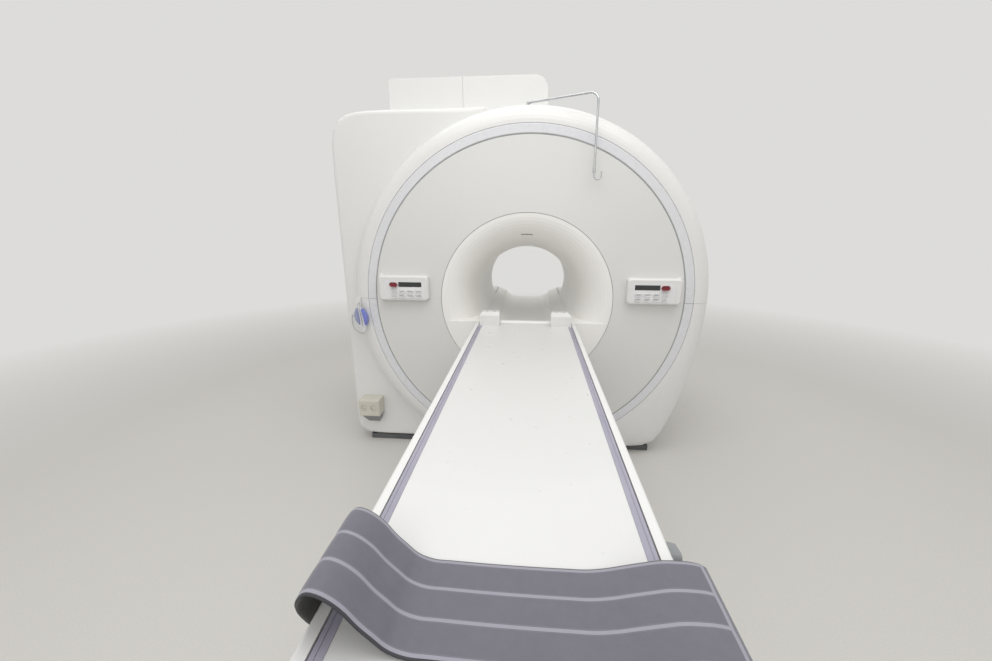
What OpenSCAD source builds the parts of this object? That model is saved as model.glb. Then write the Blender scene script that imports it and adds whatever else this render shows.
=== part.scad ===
// Whole-body MRI scanner: a short superconducting magnet in its covers, with a
// lifting couch docked at its bore. Millimetres. The floor is z = 0, the bore runs
// along Y, and the couch lies on the -Y side of the magnet.

/* [Gantry] */
// Height of the bore axis above the floor
iso_h = 1070; // [1050:5:1120]
// Radius of the free bore
bore_r = 315; // [310:1:330]
// Distance from the isocentre to the face of the front or rear cover
half_len = 700; // [680:5:760]
// How much larger the covers' radius is than the height of the bore axis
cover_over = 48; // [30:1:80]
// Width of the white rim, from the pale ring to the side of the covers
rim_reach = 108; // [88:1:118]
// Width of the pale ring
ring_w = 52; // [40:1:70]
// Width of the dark seam inside the pale ring
seam_w = 8; // [5:0.5:12]
// Outer radius of the funnel surround
surround_r = 527; // [500:1:540]
// How far the inner edge of the front panel stands in front of its outer edge
panel_crown = 20; // [5:1:30]
// Depth over which the white rim rounds from the face to the side
rim_depth = 90; // [60:5:110]
// Depth of the front cover pieces, from the face to the seam with the side skins
front_depth = 180; // [160:5:220]
// Thickness of the moulded covers
cover_wall = 8; // [6:0.5:10]

/* [Wing] */
// How far the left side stands out past the round part of the covers
wing_out = 92; // [72:1:142]
// How far the wing's face is set back from the ring's face
wing_set = 90; // [80:5:110]
// Rounding of the wing's front edge
wing_round = 30; // [15:1:40]
// Sharpness of the wing's upper corner: higher is squarer
wing_corner = 15; // [10:1:24]

/* [Foot of the covers] */
// Gap between the covers and the floor
skirt_gap = 40; // [30:5:60]
// Radius of the flatter right-hand side below the bore axis
flank_r = 2400; // [2000:50:3000]

/* [Top service cover] */
// Left end of the service cover, from the bore axis
hat_left = 855; // [800:5:900]
// Seam between the two halves, from the bore axis
hat_seam = 402; // [350:5:450]
// Right end of the service cover, from the bore axis
hat_right = 105; // [60:5:150]
// Height of the service cover above the top of the covers
hat_h = 190; // [180:5:220]
// Distance from the face of the covers to the end of the service cover
hat_in = 200; // [180:10:250]
// Radius of the service cover's right-hand top corner
hat_round = 78; // [40:2:90]

/* [Magnet] */
// Space between the vacuum vessel and the round part of the covers
cover_space = 218; // [198:1:228]
// Radius of the vessel's warm bore
vessel_bore_r = 450; // [445:1:470]
// Space between the end of the vacuum vessel and the face of the covers
vessel_in = 80; // [60:5:90]
// Inner radius of the gradient coil
gradient_r = 352; // [350:1:358]
// Distance from the face of the covers to the end of the gradient coil
gradient_in = 205; // [200:1:240]
// Depth of a funnel, from the face of the covers to the straight bore
throat_in = 369; // [355:1:380]
// Wall of the bore liner
liner_wall = 5; // [4:0.5:6]
// Spacing of the floor anchors across the magnet
anchor_x = 1200; // [1160:10:1220]
// Distance from the face of the covers to the nearest floor anchors
anchor_in = 250; // [230:5:270]
// Radius of every floor anchor hole
anchor_r = 11; // [9:0.5:13]

/* [Control panels] */
// Width of a control panel
control_w = 312; // [300:2:316]
// Height of a control panel
control_h = 154; // [146:2:164]
// How far a control panel stands in front of the ring's face
control_out = 60; // [50:2:75]
// Gap between a control panel's outer end and the edge of the front panel
control_edge = 36; // [32:1:43]
// Travel of the stop button
stop_travel = 4; // [2:0.5:6]

/* [Drip hook] */
// Diameter of the bent rod
rod_d = 12; // [9:0.5:16]
// Reach of the arm from its foot to the hanging rod, across the gantry
arm_reach = 374; // [350:2:400]
// Reach of the arm from its foot towards the couch
arm_front = 185; // [180:5:230]
// Length of the hanging rod
arm_drop = 330; // [280:5:380]

/* [Couch] */
// Drop from the bore axis to the rails of the couch
table_drop = 130; // [128:0.5:132]
// Half width of the moving couch top
top_half = 280; // [277:0.5:282]
// Width of a grey rail strip
strip_w = 22; // [16:1:30]
// Depth of the shallow hollow in the couch top
top_dip = 9; // [4:0.5:12]
// Depth of the keel below the rails
keel_depth = 97; // [90:1:104]
// Width of a white side rim
rim_w = 25; // [20:1:32]
// Depth of the couch body below the rails
couch_depth = 190; // [180:5:210]
// Distance from the face of the covers to the head end of the couch
couch_gap = 37; // [35:1:45]
// Length of the couch body
couch_len = 2260; // [2200:10:2400]
// Height of the couch body's underside above the floor with the couch lowered
couch_down = 350; // [340:10:390]
// Distance that the couch top slides into the bore
slide_travel = 1600; // [1400:20:1650]
// Clearance between the couch top and the bore floor
slide_gap = 3; // [2.4:0.1:3.6]
// Clearance beside the keel of the couch top, in the trough of the bore floor
side_gap = 6; // [5:0.5:8]

/* [Lifting column] */
// Distance from the head end of the couch to the middle of the column
column_in = 1113; // [1063:10:1163]
// Outer radius of the inner column tube
ram_r = 79; // [70:1:84]
// Wall of each column tube
ram_wall = 9.7; // [7:0.1:12]
// Width of the upper shroud
shroud_w = 540; // [520:5:560]
// Length of the upper shroud
shroud_len = 780; // [700:10:800]
// Step from one shroud to the next
shroud_step = 20; // [14:1:24]
// Thickness of the shroud walls
shroud_wall = 4; // [3:0.5:5]

/* [Body strap] */
// Width of the strap
strap_w = 180; // [150:5:220]
// Thickness of the strap
strap_t = 6; // [5:0.5:8]
// Distance from the foot end of the couch to the middle of the strap
strap_foot = 355; // [240:5:420]

/* [Fits] */
// Gap of a seated curved face
seat = 0.3; // [0.2:0.05:0.5]
// Gap at a visible butt seam
butt = 0.6; // [0.4:0.1:0.8]
// Radial clearance of a turning shaft
shaft_gap = 0.06; // [0.03:0.01:0.1]

/* [Hidden] */
$fn = 96;

// Front and rear planes, with Y as the bore axis
face_y = -half_len;
rear_y = half_len;
cover_r = iso_h + cover_over;
ring_r = cover_r - rim_reach;
wing_x = cover_r + wing_out;
vessel_r = cover_r - cover_space;
vessel_half = half_len - vessel_in;
gradient_half = half_len - gradient_in;
throat_half = half_len - throat_in;
anchor_y = 2 * (half_len - anchor_in);
hat_len = 2 * (half_len - hat_in);
couch_head = half_len + couch_gap;
column_y = couch_head + column_in;

// Angle of the seam between the top skin and the left side skin
top_split = 90 + atan((hat_seam + 190) / cover_r);
skirt_drop = iso_h - skirt_gap;
panel_r = ring_r - ring_w - seam_w;
control_x = panel_r - control_w - control_edge;
panel_in = surround_r + 3;
skin_front = face_y + front_depth;
skin_rear = half_len - 140;
skin_wall = 6;

// Flange that carries the ring and the rim, behind the face
flange_y = face_y + 38;
flange_t = 8;
hub_r = vessel_r - 28;

// Funnel between the surround and the throat, a quarter ellipse in section
flare_a = half_len + panel_crown - 1 - throat_half;
flare_b = surround_r - 2 - bore_r;
ledge_z = table_drop + 4;

// Couch levels below the bore axis
strip_t = 4.5;
board_edge_top = table_drop + strip_t + seat;
board_edge_low = table_drop + 9.3;
shoulder_x = 196;
shoulder_z = board_edge_low + 0.353 * (top_half - shoulder_x);
keel_x = 188;
keel_side_z = shoulder_z + 20;
keel_low = table_drop + keel_depth;
keel_flat = 70;
strip_in = top_half - strip_w;
hollow_x = strip_in - seat;

table_z = iso_h - table_drop;
couch_low = table_z - couch_depth;
couch_foot = couch_head + couch_len;
strap_y = couch_foot - strap_foot;
lift_travel = couch_low - couch_down;
board_len = couch_len - 12;
socket_depth = 63;
socket_in = 155;
socket_h = 74;
strip_head = couch_head + 93;

// Column levels at rest, with the couch raised
stage_travel = lift_travel / 2;
base_t = 20;
floor_play = 10;
ram_low = base_t + floor_play + lift_travel;
stage_low = base_t + floor_play + stage_travel;
ram_len = couch_low - ram_low;
stage_len = ram_len - 50;
outer_top = stage_low + stage_len - stage_travel - 4;
stage_r = ram_r + seat + ram_wall;
outer_r = stage_r + seat + ram_wall;

roller_r = 30;
roller_len = 2 * keel_flat - 10;
axle_r = 8;
roller_z = iso_h - keel_low - seat - roller_r;
drive_y = -(couch_head + 160);
middle_y = -(couch_head + 560);
foot_y = -(couch_foot - 300);
chassis_in = top_half + 6;
chassis_wall = 6;

// Stop button, display and membrane on the control panels, measured from the
// panel's inner side and from its bottom
display_w = 144;
display_h = 29;
display_at = 113;
display_z = 101;
sheet_w = 256;
sheet_h = 122;
sheet_at = 150;
sheet_z = 74;
stop_at = 214;
stop_w = 46;
stop_h = 25;
flare_h = 10;
flare_w = 36;

white = "#eeeeec";
panel_white = "#dcdcd8";
ring_grey = "#d6d8de";
steel = "#a9adb2";

// Point of the funnel's section at y, measured from the throat
function flare_r(y) =
  abs(y) <= throat_half ? bore_r
  : bore_r + flare_b * (1 - sqrt(max(0, 1 - pow((abs(y) - throat_half) / flare_a, 2))));

// Depth of the front panel's face at radius r
function panel_face(r) = face_y - panel_crown * (panel_r - r) / (panel_r - panel_in);

// Blend of two boundary distances with exponent n
function blend(p, q, n) = pow(pow(1 / p, n) + pow(1 / q, n), -1 / n);

// Distance from the bore axis to the flatter right-hand side, at angle a
function flank(a) =
  let (x0 = cover_r - flank_r)
  x0 * cos(a) + sqrt(pow(flank_r, 2) - pow(x0 * sin(a), 2));

// Outline of the covers as a distance from the bore axis at angle a
function gantry_r(a) =
  let (c = cos(a), s = sin(a), far = 1e5)
  c >= 0 && s >= 0 ? cover_r
  : s >= 0 ? blend(wing_x / max(-c, 1e-3), cover_r / max(s, 1e-3), wing_corner)
  : c >= 0 ? blend(flank(a), skirt_drop / max(-s, 1e-3), 26)
  : blend(wing_x / max(-c, 1e-3), skirt_drop / max(-s, 1e-3), 26);

// Outline of the white rim, round on the left where it stands in the wing
function rim_out(a) =
  let (s = sin(a))
  cos(a) >= 0 ? gantry_r(a)
  : s >= 0 ? cover_r
  : blend(cover_r, skirt_drop / max(-s, 1e-3), 40);

function steps(a0, a1, n) = [for (i = [0:n]) a0 + (a1 - a0) * i / n];

// Revolve a [radius, y] profile about the bore axis, from world angle a0 to a1
module about_bore(a0 = 0, a1 = 360) {
  translate([0, 0, iso_h]) rotate([-90, 0, 0]) rotate([0, 0, -a1])
    rotate_extrude(angle = a1 - a0) children();
}

// Extrude an [x, height above the bore axis] outline along the bore
module along_bore(y0, y1) {
  translate([0, y1, iso_h]) rotate([90, 0, 0]) linear_extrude(y1 - y0) children();
}

// Loft of radial sections around the bore axis; each section lists [radius, y]
module radial_loft(angles, sections, closed = false) {
  n = len(sections[0]);
  m = len(angles);
  last = closed ? m - 1 : m - 2;
  points = [for (i = [0:m - 1]) for (p = sections[i])
    [p[0] * cos(angles[i]), p[1], iso_h + p[0] * sin(angles[i])]];
  sides = [for (i = [0:last]) for (j = [0:n - 1])
    let (k = (i + 1) % m, l = (j + 1) % n)
    each [[i * n + j, k * n + j, k * n + l], [i * n + j, k * n + l, i * n + l]]];
  caps = closed ? []
    : [[for (j = [0:n - 1]) j], [for (j = [n - 1:-1:0]) (m - 1) * n + j]];
  polyhedron(points, concat(sides, caps));
}

// Rounded rectangle centred on the origin
module pill(w, h, r) {
  square([w - 2 * r, h], center = true);
  if (h > 2 * r) square([w, h - 2 * r], center = true);
  for (x = [-1, 1], y = [-1, 1])
    translate([x * (w / 2 - r), y * (h / 2 - r)]) circle(r);
}

// Magnet

// Two cast saddles under the vessel, with anchor holes at their ends
module saddles() {
  pad_in = 0.422 * vessel_r;
  pad_out = 0.589 * vessel_r;
  pad_z = -sqrt(pow(vessel_r, 2) - pow(pad_out, 2)) - 13;
  color(steel) for (y = [-anchor_y / 2, anchor_y / 2]) difference() {
    along_bore(y - 70, y + 70) difference() {
      union() {
        translate([-anchor_x / 2 - 40, -iso_h]) square([anchor_x + 80, 25]);
        for (s = [-1, 1])
          polygon([[s * 280, -iso_h], [s * (anchor_x / 2 - 50), -iso_h],
                   [s * pad_out, pad_z], [s * pad_in, pad_z]]);
        translate([-300, -iso_h]) square([600, 90]);
      }
      circle(vessel_r + seat);
    }
    for (x = [-anchor_x / 2, anchor_x / 2])
      translate([x, y, -1]) cylinder(r = anchor_r, h = 30);
  }
}

// Dark recessed base frame, tied to the ends of the saddles
module plinth() {
  wall = 6;
  x0 = wing_x - 95;
  x1 = cover_r - 250;
  y0 = half_len - 100;
  tie = anchor_x / 2 + 40;
  color("#5a5c5e") {
    difference() {
      translate([-x0, -y0, 0]) cube([x0 + x1, 2 * y0, skirt_gap - 2]);
      translate([-x0 + wall, -y0 + wall, -1])
        cube([x0 + x1 - 2 * wall, 2 * (y0 - wall), skirt_gap]);
    }
    for (y = [-anchor_y / 2, anchor_y / 2]) {
      translate([-x0 + 1, y - 25, 0]) cube([x0 - tie - 1, 50, 20]);
      translate([tie, y - 25, 0]) cube([x1 - tie - 1, 50, 20]);
    }
  }
}

// Cable duct on the floor between the couch base and the magnet
module floor_duct() {
  y0 = -(column_y - shroud_len / 2 - 65);
  color("#8b8d90") translate([-60, y0, 0]) difference() {
    cube([120, -y0 - (half_len - 100), 25]);
    translate([4, -1, -1]) cube([112, -y0, 22]);
  }
}

// Closed annular tank with end flanges and the service neck on top
module vacuum_vessel() {
  y = vessel_half;
  neck = [-(hat_seam - 22), 0];
  color("#c9ccd0") {
    difference() {
      union() {
        about_bore() polygon([
          [vessel_bore_r, -y], [vessel_r - 14, -y], [vessel_r, -y + 14],
          [vessel_r, -y + 40], [vessel_r - 10, -y + 50], [vessel_r - 10, y - 50],
          [vessel_r, y - 40], [vessel_r, y - 14], [vessel_r - 14, y], [vessel_bore_r, y]]);
        translate([neck[0], neck[1], iso_h + vessel_r * 0.78])
          cylinder(r = 120, h = cover_r + 20 - vessel_r * 0.78);
        translate([neck[0], neck[1], iso_h + cover_r + 20]) cylinder(r = 145, h = 16);
      }
      translate([neck[0], neck[1], iso_h + vessel_r]) cylinder(r = 62, h = 400);
    }
  }
}

// Two-stage cooler with its motor, let into the neck
module cold_head() {
  z = iso_h + cover_r + 36;
  color("#8f9499") translate([-(hat_seam - 22), 0, z]) {
    cylinder(r = 95, h = 14);
    translate([0, 0, -130]) cylinder(r = 58, h = 131);
    translate([0, 0, 13]) cylinder(r = 52, h = 60);
    translate([-70, -45, 72]) cube([140, 90, 55]);
    translate([-110, 0, 99]) rotate([0, 90, 0]) cylinder(r = 14, h = 60);
  }
}

// Resin-cast coil tube with a chamfer at each mouth
module gradient_coil() {
  y = gradient_half;
  r1 = vessel_bore_r - seat;
  color("#b08d57") about_bore() polygon([
    [gradient_r + 6, -y], [r1 - 6, -y], [r1, -y + 6], [r1, y - 6],
    [r1 - 6, y], [gradient_r + 6, y], [gradient_r, y - 6], [gradient_r, -y + 6]]);
}

// Birdcage tube with end rings that hold the liner inside the gradient coil
module rf_coil() {
  y = throat_half - 6;
  r0 = bore_r + liner_wall + seat;
  r1 = gradient_r - seat;
  color("#c98b4a") difference() {
    about_bore() polygon([
      [r0, -y], [r1, -y], [r1, -y + 22], [r0 + 12, -y + 22], [r0 + 12, y - 22],
      [r1, y - 22], [r1, y], [r0, y], [r0, y - 22], [r0 + 4, y - 22],
      [r0 + 4, -y + 22], [r0, -y + 22]]);
    for (a = [11.25:22.5:348.75]) translate([0, 0, iso_h]) rotate([0, a, 0])
      translate([r0 - 5, -y + 60, -32]) cube([30, 2 * y - 120, 64]);
  }
}

// Straight tube between the two funnels
module bore_liner() {
  color(panel_white) about_bore()
    translate([bore_r, -throat_half]) square([liner_wall, 2 * throat_half]);
}

// Outline under the couch top, lowered and widened by the given gaps
function under_top(down, wide) = [
  [top_half + wide, board_edge_low + down - 0.353 * wide],
  [shoulder_x + wide, shoulder_z + down],
  [keel_x + wide, keel_side_z + down],
  each [for (i = [1:6]) let (x = keel_x + (keel_flat - keel_x) * i / 6)
    [x + wide, keel_side_z + down + (keel_low - keel_side_z) *
      (1 - pow((x - keel_flat) / (keel_x - keel_flat), 2))]]
];

// Same outline on both sides, as points below the bore axis, right to left
function under_both(down, wide) =
  let (half = under_top(down, wide), n = len(half))
  concat([for (p = half) [p[0], -p[1]]],
         [for (i = [n - 1:-1:0]) [-half[i][0], -half[i][1]]]);

module bridge_section(gap) {
  top = board_edge_low + slide_gap + 0.5;
  difference() {
    intersection() {
      circle(bore_r - gap);
      translate([-bore_r, -bore_r]) square([2 * bore_r, bore_r - top]);
    }
    polygon(concat(under_both(slide_gap, side_gap),
      [[-top_half - side_gap, 0], [top_half + side_gap, 0]]));
  }
}

// Floor of the bore, with side floors and a trough for the keel
module bore_bridge() {
  y = half_len + panel_crown - 3;
  color("#e3e0da") along_bore(-y, y) bridge_section(seat);
}

// Covers

// Two turned frames between the vessel ends and the front and rear covers
module cover_frames() {
  hub_end = half_len - 12;
  color(steel) {
    about_bore() polygon([
      [hub_r, -vessel_half], [hub_r, -hub_end], [hub_r + 8, -hub_end],
      [hub_r + 8, flange_y], [ring_r + 5, flange_y], [ring_r + 5, flange_y + flange_t],
      [hub_r + 8, flange_y + flange_t], [hub_r + 8, -vessel_half]]);
    about_bore() translate([hub_r, vessel_half])
      square([8, half_len - cover_wall - vessel_half]);
  }
}

// Slightly coned annular front panel with returns at both edges
module front_panel() {
  t = cover_wall;
  back = face_y + 12;
  boss0 = hub_r - 4;
  boss1 = hub_r + 12;
  color(panel_white) about_bore() polygon([
    [panel_in, panel_face(panel_in)], [panel_r, face_y], [panel_r, back],
    [panel_r - t, back], [panel_r - t, panel_face(panel_r - t) + t],
    [boss1, panel_face(boss1) + t], [boss1, back], [boss0, back],
    [boss0, panel_face(boss0) + t], [panel_in + t, panel_face(panel_in + t) + t],
    [panel_in + t, face_y], [panel_in, face_y]]);
}

// Dark seal between the panel and the pale ring
module panel_seal() {
  color("#85878a") about_bore() translate([panel_r + seat, face_y + 3])
    square([seam_w - 2 * seat, 9]);
}

// Section of a funnel: from the throat out to the surround, with a flange behind
function funnel_section(wall, flange) =
  let (n = 16,
       ys = [for (i = [0:n]) throat_half + flare_a * sin(90 * i / n)])
  concat(
    [for (y = ys) [flare_r(y), -y]],
    [[surround_r, -(throat_half + flare_a)], [surround_r, -flange],
     [surround_r + 33, -flange], [surround_r + 33, -flange + 6]],
    [for (i = [n:-1:0]) if (ys[i] < flange - 10) [flare_r(ys[i]) + wall, -ys[i]]]);

// Plan of a ledge beside the couch slot, from the throat out to the funnel's wall
function ledge_plan(x0) =
  let (n = 12, span = flare_a - 1)
  concat([[x0, -throat_half], [x0, -(throat_half + flare_a)]],
    [for (i = [n:-1:0]) let (y = throat_half + span * sin(90 * i / n))
      [sqrt(pow(flare_r(y) + cover_wall / 2, 2) - pow(ledge_z, 2)), -y]]);

// Funnel above the couch level, with a flat plate and ledges below it
module funnel(flange) {
  t = cover_wall;
  out = throat_half + flare_a;
  color("#dddbd5") {
    difference() {
      about_bore() polygon(funnel_section(t, flange));
      translate([-surround_r - 60, -out - 1, iso_h - surround_r - 60])
        cube([2 * surround_r + 120, flare_a - 20, surround_r + 60 - ledge_z - t]);
      translate([-surround_r - 60, -out - 1, iso_h - bore_r - 40])
        cube([2 * surround_r + 120, out - throat_half + 0.5, bore_r + 40 - ledge_z - t]);
    }
    along_bore(-out, -out + t) difference() {
      intersection() {
        circle(surround_r);
        translate([-surround_r, -surround_r])
          square([2 * surround_r, surround_r - ledge_z]);
      }
      bridge_slot();
    }
    for (s = [0, 1]) mirror([s, 0, 0])
      translate([0, 0, iso_h - ledge_z - t]) linear_extrude(t)
        polygon(ledge_plan(top_half + 3.6));
  }
}

// Opening for the bridge and the couch top through a funnel's plate
module bridge_slot() {
  intersection() {
    circle(bore_r + seat);
    translate([-top_half - 3.6, -bore_r - 1]) square([2 * top_half + 7.2, bore_r + 2]);
  }
  edge_room = board_edge_low + slide_gap + 0.5;
  translate([-top_half - 3.6, -edge_room]) square([2 * top_half + 7.2, edge_room - ledge_z + 1]);
}

// Front funnel, pocketed for the alignment window
module front_funnel() {
  difference() {
    funnel(half_len);
    about_bore(84.5, 95.5) window_section(seat);
  }
}

module rear_funnel() {
  mirror([0, 1, 0]) funnel(half_len - cover_wall);
}

module window_section(gap) {
  y = -(throat_half + flare_a * 0.81);
  r = flare_r(y);
  translate([r - 9 - gap, y - 6 - gap]) square([12 + 2 * gap, 12 + 2 * gap]);
}

// Channel section of the pale ring
module ring_section() {
  t = 7;
  r0 = ring_r - ring_w;
  polygon([
    [r0, face_y + 2], [r0 + 3, face_y], [ring_r - 6, face_y], [ring_r, face_y + 3],
    [ring_r, flange_y], [ring_r - t, flange_y], [ring_r - t, face_y + t],
    [r0 + t, face_y + t], [r0 + t, flange_y], [r0, flange_y]]);
}

// Two halves of the pale ring
module ring_halves() {
  color(ring_grey) for (a = [0, 180]) about_bore(a + 0.05, a + 179.95) ring_section();
}

// Section of the white rim at angle a: an inner return, a quarter ellipse, then
// straight back
function rim_section(a) =
  let (r0 = ring_r + 1, r1 = rim_out(a), t = cover_wall, w = 4,
       d = rim_depth, n = 8)
  concat([[r0, flange_y]],
    [for (i = [0:n]) let (f = 90 * i / n)
      [r0 + (r1 - r0) * sin(f), face_y + d * (1 - cos(f))]],
    [[r1, skin_front], [r1 - t, skin_front]],
    [for (i = [n:-1:0]) let (f = 90 * i / n)
      [r0 + max(w, (r1 - r0 - t) * sin(f)), face_y + t + (d - t) * (1 - cos(f))]],
    [[r0 + w, flange_y]]);

module rim(a0, a1) {
  angles = steps(a0, a1, 60);
  color(white) radial_loft(angles, [for (a = angles) rim_section(a)]);
}

module rim_upper() { rim(0.03, 179.97); }
module rim_lower() { rim(180.03, 359.97); }

// Section of the wing at angle a: face, rounded edge and side
function wing_section(a) =
  let (r0 = cover_r + butt, r1 = gantry_r(a), t = cover_wall,
       e = min(wing_round, max(2, (r1 - r0 - t) * 0.6)), k = max(1, e - t),
       y = face_y + wing_set, n = 4)
  concat([[r0, y]],
    [for (i = [0:n]) let (f = 90 * i / n)
      [r1 - e + e * sin(f), y + e - e * cos(f)]],
    [[r1, skin_front], [r1 - t, skin_front]],
    [for (i = [n:-1:0]) let (f = 90 * i / n)
      [r1 - t - k + k * sin(f), y + t + k - k * cos(f)]],
    [[r0, y + t]]);

module wing_cover() {
  angles = steps(103, 244, 70);
  color(white) radial_loft(angles, [for (a = angles) wing_section(a)]);
}

// Single-wall skin between the front and rear covers
module skin(a0, a1, n) {
  color(white) along_bore(skin_front + butt, skin_rear - butt)
    polygon(concat(
      [for (a = steps(a0, a1, n)) gantry_r(a) * [cos(a), sin(a)]],
      [for (a = steps(a1, a0, n)) (gantry_r(a) - skin_wall) * [cos(a), sin(a)]]));
}

module side_skin_left() { skin(top_split + 0.1, 240, 41); }
module side_skin_right() { skin(-60, 61.9, 40); }

// Top skin, open around the service neck
module top_skin() {
  difference() {
    skin(62, top_split, 18);
    translate([-(hat_seam - 22) - 165, -165, iso_h + vessel_r]) cube([330, 330, 400]);
  }
}

// Section of the rear cover at angle a
function rear_section(a) =
  let (r0 = surround_r + 1, r1 = gantry_r(a), t = cover_wall, e = 60,
       k = e - t, y = rear_y, n = 4)
  concat([[r0, y], [r0, y - t]],
    [for (i = [0:n]) let (f = 90 * i / n)
      [r1 - t - k + k * sin(f), y - t - k + k * cos(f)]],
    [[r1 - t, skin_rear], [r1, skin_rear]],
    [for (i = [n:-1:0]) let (f = 90 * i / n)
      [r1 - e + e * sin(f), y - e + e * cos(f)]]);

module rear_cover() {
  angles = [for (i = [0:119]) i * 3];
  color(white) radial_loft(angles, [for (a = angles) rear_section(a)], closed = true);
}

// Service cover over the neck: one half, from x0 to x1
module hat_half(x0, x1, r0, r1) {
  t = 5;
  top = cover_r + hat_h;
  difference() {
    along_bore(-hat_len / 2, hat_len / 2) hat_outline(x0, x1, top, r0, r1, 0);
    along_bore(-hat_len / 2 + t, hat_len / 2 - t)
      hat_outline(x0 + (r0 > 0 ? t : -9), x1 - (r1 > 0 ? t : -9), top - t,
                  max(0, r0 - t), max(0, r1 - t), 20);
  }
}

// Outline of a service cover half, with its own radius at each top corner
module hat_outline(x0, x1, top, r0, r1, down) {
  difference() {
    union() {
      translate([x0 + r0, cover_r - 30 - down]) square([x1 - x0 - r0 - r1, top - cover_r + 30 + down]);
      translate([x0, cover_r - 30 - down]) square([x1 - x0, top - cover_r + 30 + down - max(r0, r1)]);
      if (r0 > 0) {
        translate([x0, cover_r - 30 - down]) square([r0 + 1, top - cover_r + 30 + down - r0]);
        translate([x0 + r0, top - r0]) circle(r0);
      }
      if (r1 > 0) translate([x1 - r1, top - r1]) circle(r1);
    }
    if (down == 0) {
      circle(cover_r + seat, $fn = 360);
      translate([-wing_x, 0]) square([wing_x, cover_r + seat]);
    }
  }
}

module top_cover_left() {
  color(white) hat_half(-hat_left, -hat_seam - butt, 22, 0);
}

module top_cover_right() {
  color(white) hat_half(-hat_seam + butt, hat_right, 0, hat_round);
}

// Control panels, drawn for the right-hand side

// Swept corner where the housing meets the seam, on the upper or lower side
module housing_sweep(x0, z0, side) {
  r = (flare_w * flare_w + flare_h * flare_h) / (2 * flare_h);
  polygon(concat([[x0, z0 - 12 * side]],
    [for (x = steps(0, flare_w, 7)) [x0 + x, z0 + side * (r - sqrt(r * r - x * x))]],
    [[x0 + flare_w, z0 - 12 * side]]));
}

module control_housing() {
  d = control_out;
  back = face_y + 2;
  x1 = control_x + control_w;
  cx = control_x + control_w / 2;
  difference() {
    union() {
      hull() {
        translate([cx, face_y - d, iso_h + control_h / 2]) rotate([90, 0, 0])
          linear_extrude(0.1) pill(control_w - 16, control_h - 16, 14, $fn = 32);
        translate([cx, face_y - d + 9, iso_h + control_h / 2]) rotate([90, 0, 0])
          linear_extrude(0.1) pill(control_w, control_h, 20, $fn = 32);
        translate([cx, back, iso_h + control_h / 2]) rotate([90, 0, 0])
          linear_extrude(0.1) pill(control_w, control_h, 20, $fn = 32);
      }
      along_bore(face_y - d + 22, back) housing_sweep(x1 - flare_w, control_h, 1);
      along_bore(face_y - d + 22, back) housing_sweep(x1 - flare_w, 0, -1);
    }
    about_bore() polygon([
      [panel_in - 40, panel_face(panel_in - 40) - seat],
      [panel_r + 30, panel_face(panel_r + 30) - seat],
      [panel_r + 30, face_y + 60], [panel_in - 40, face_y + 60]]);
    control_pocket(sheet_at, sheet_z, sheet_w + 2 * seat, sheet_h + 2 * seat, 12, 2);
    control_pocket(display_at, display_z, display_w + 2 * seat, display_h + 2 * seat, 3, 5);
    control_pocket(stop_at, display_z, stop_w + 1, stop_h + 1, stop_h / 2, 34);
  }
}

// Pocket in the panel's face: place, size, corner radius and depth
module control_pocket(x, z, w, h, r, depth) {
  translate([control_x + x, face_y - control_out + depth, iso_h + z]) rotate([90, 0, 0])
    linear_extrude(depth + 5) pill(w, h, r);
}

// Plate that fills such a pocket
module control_plate(x, z, w, h, r, y0, y1) {
  translate([control_x + x, face_y - control_out + y1, iso_h + z]) rotate([90, 0, 0])
    linear_extrude(y1 - y0) pill(w, h, r);
}

module control_left() { color(white) mirror([1, 0, 0]) control_housing(); }
module control_right() { color(white) control_housing(); }

module displays() {
  color("#202225") for (s = [0, 1]) mirror([s, 0, 0])
    control_plate(display_at, display_z, display_w, display_h, 3, 1, 5);
}

// Membrane sheets around the displays and the stop buttons
module keypads() {
  color("#f2f2f0") for (s = [0, 1]) mirror([s, 0, 0]) difference() {
    control_plate(sheet_at, sheet_z, sheet_w, sheet_h, 12, 0.4, 2);
    control_plate(display_at, display_z, display_w + 2, display_h + 2, 3, -1, 3);
    control_plate(stop_at, display_z, stop_w + 3, stop_h + 3, stop_h / 2 + 1, -1, 3);
  }
}

module stop_button() {
  control_plate(stop_at, display_z, stop_w, stop_h, stop_h / 2, -9, 34 - stop_travel - 1);
}

module stop_button_left() { color("#9e2f3d") mirror([1, 0, 0]) stop_button(); }
module stop_button_right() { color("#9e2f3d") stop_button(); }

// Grey window of the positioning light, at the top of the funnel
module alignment_window() {
  color("#9a9c98") intersection() {
    about_bore(85, 95) window_section(0);
    about_bore() polygon(concat(
      [for (i = [8:16]) let (y = throat_half + flare_a * sin(90 * i / 16)) [flare_r(y) + 1, -y]],
      [[surround_r + 60, -(throat_half + flare_a)], [surround_r + 60, -throat_half]]));
  }
}

// Small camera plate under the top of the throat
module bore_camera() {
  y0 = -(throat_half + 164);
  y1 = -(throat_half + 134);
  color("#c9c9c4") difference() {
    about_bore(82, 93) polygon([
      [flare_r(y0) - seat, y0], [flare_r(y1) - seat - 0.6, y1],
      [flare_r(y1) - 7, y1], [flare_r(y0) - 9, y0]]);
    translate([-12, (y0 + y1) / 2 - 8, iso_h + flare_r(y1) - 16]) cylinder(r = 3, h = 13);
  }
}

// Drip hook

arm_foot = [-10, face_y + front_depth - 55];
arm_z = iso_h + cover_r + 21;

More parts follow.
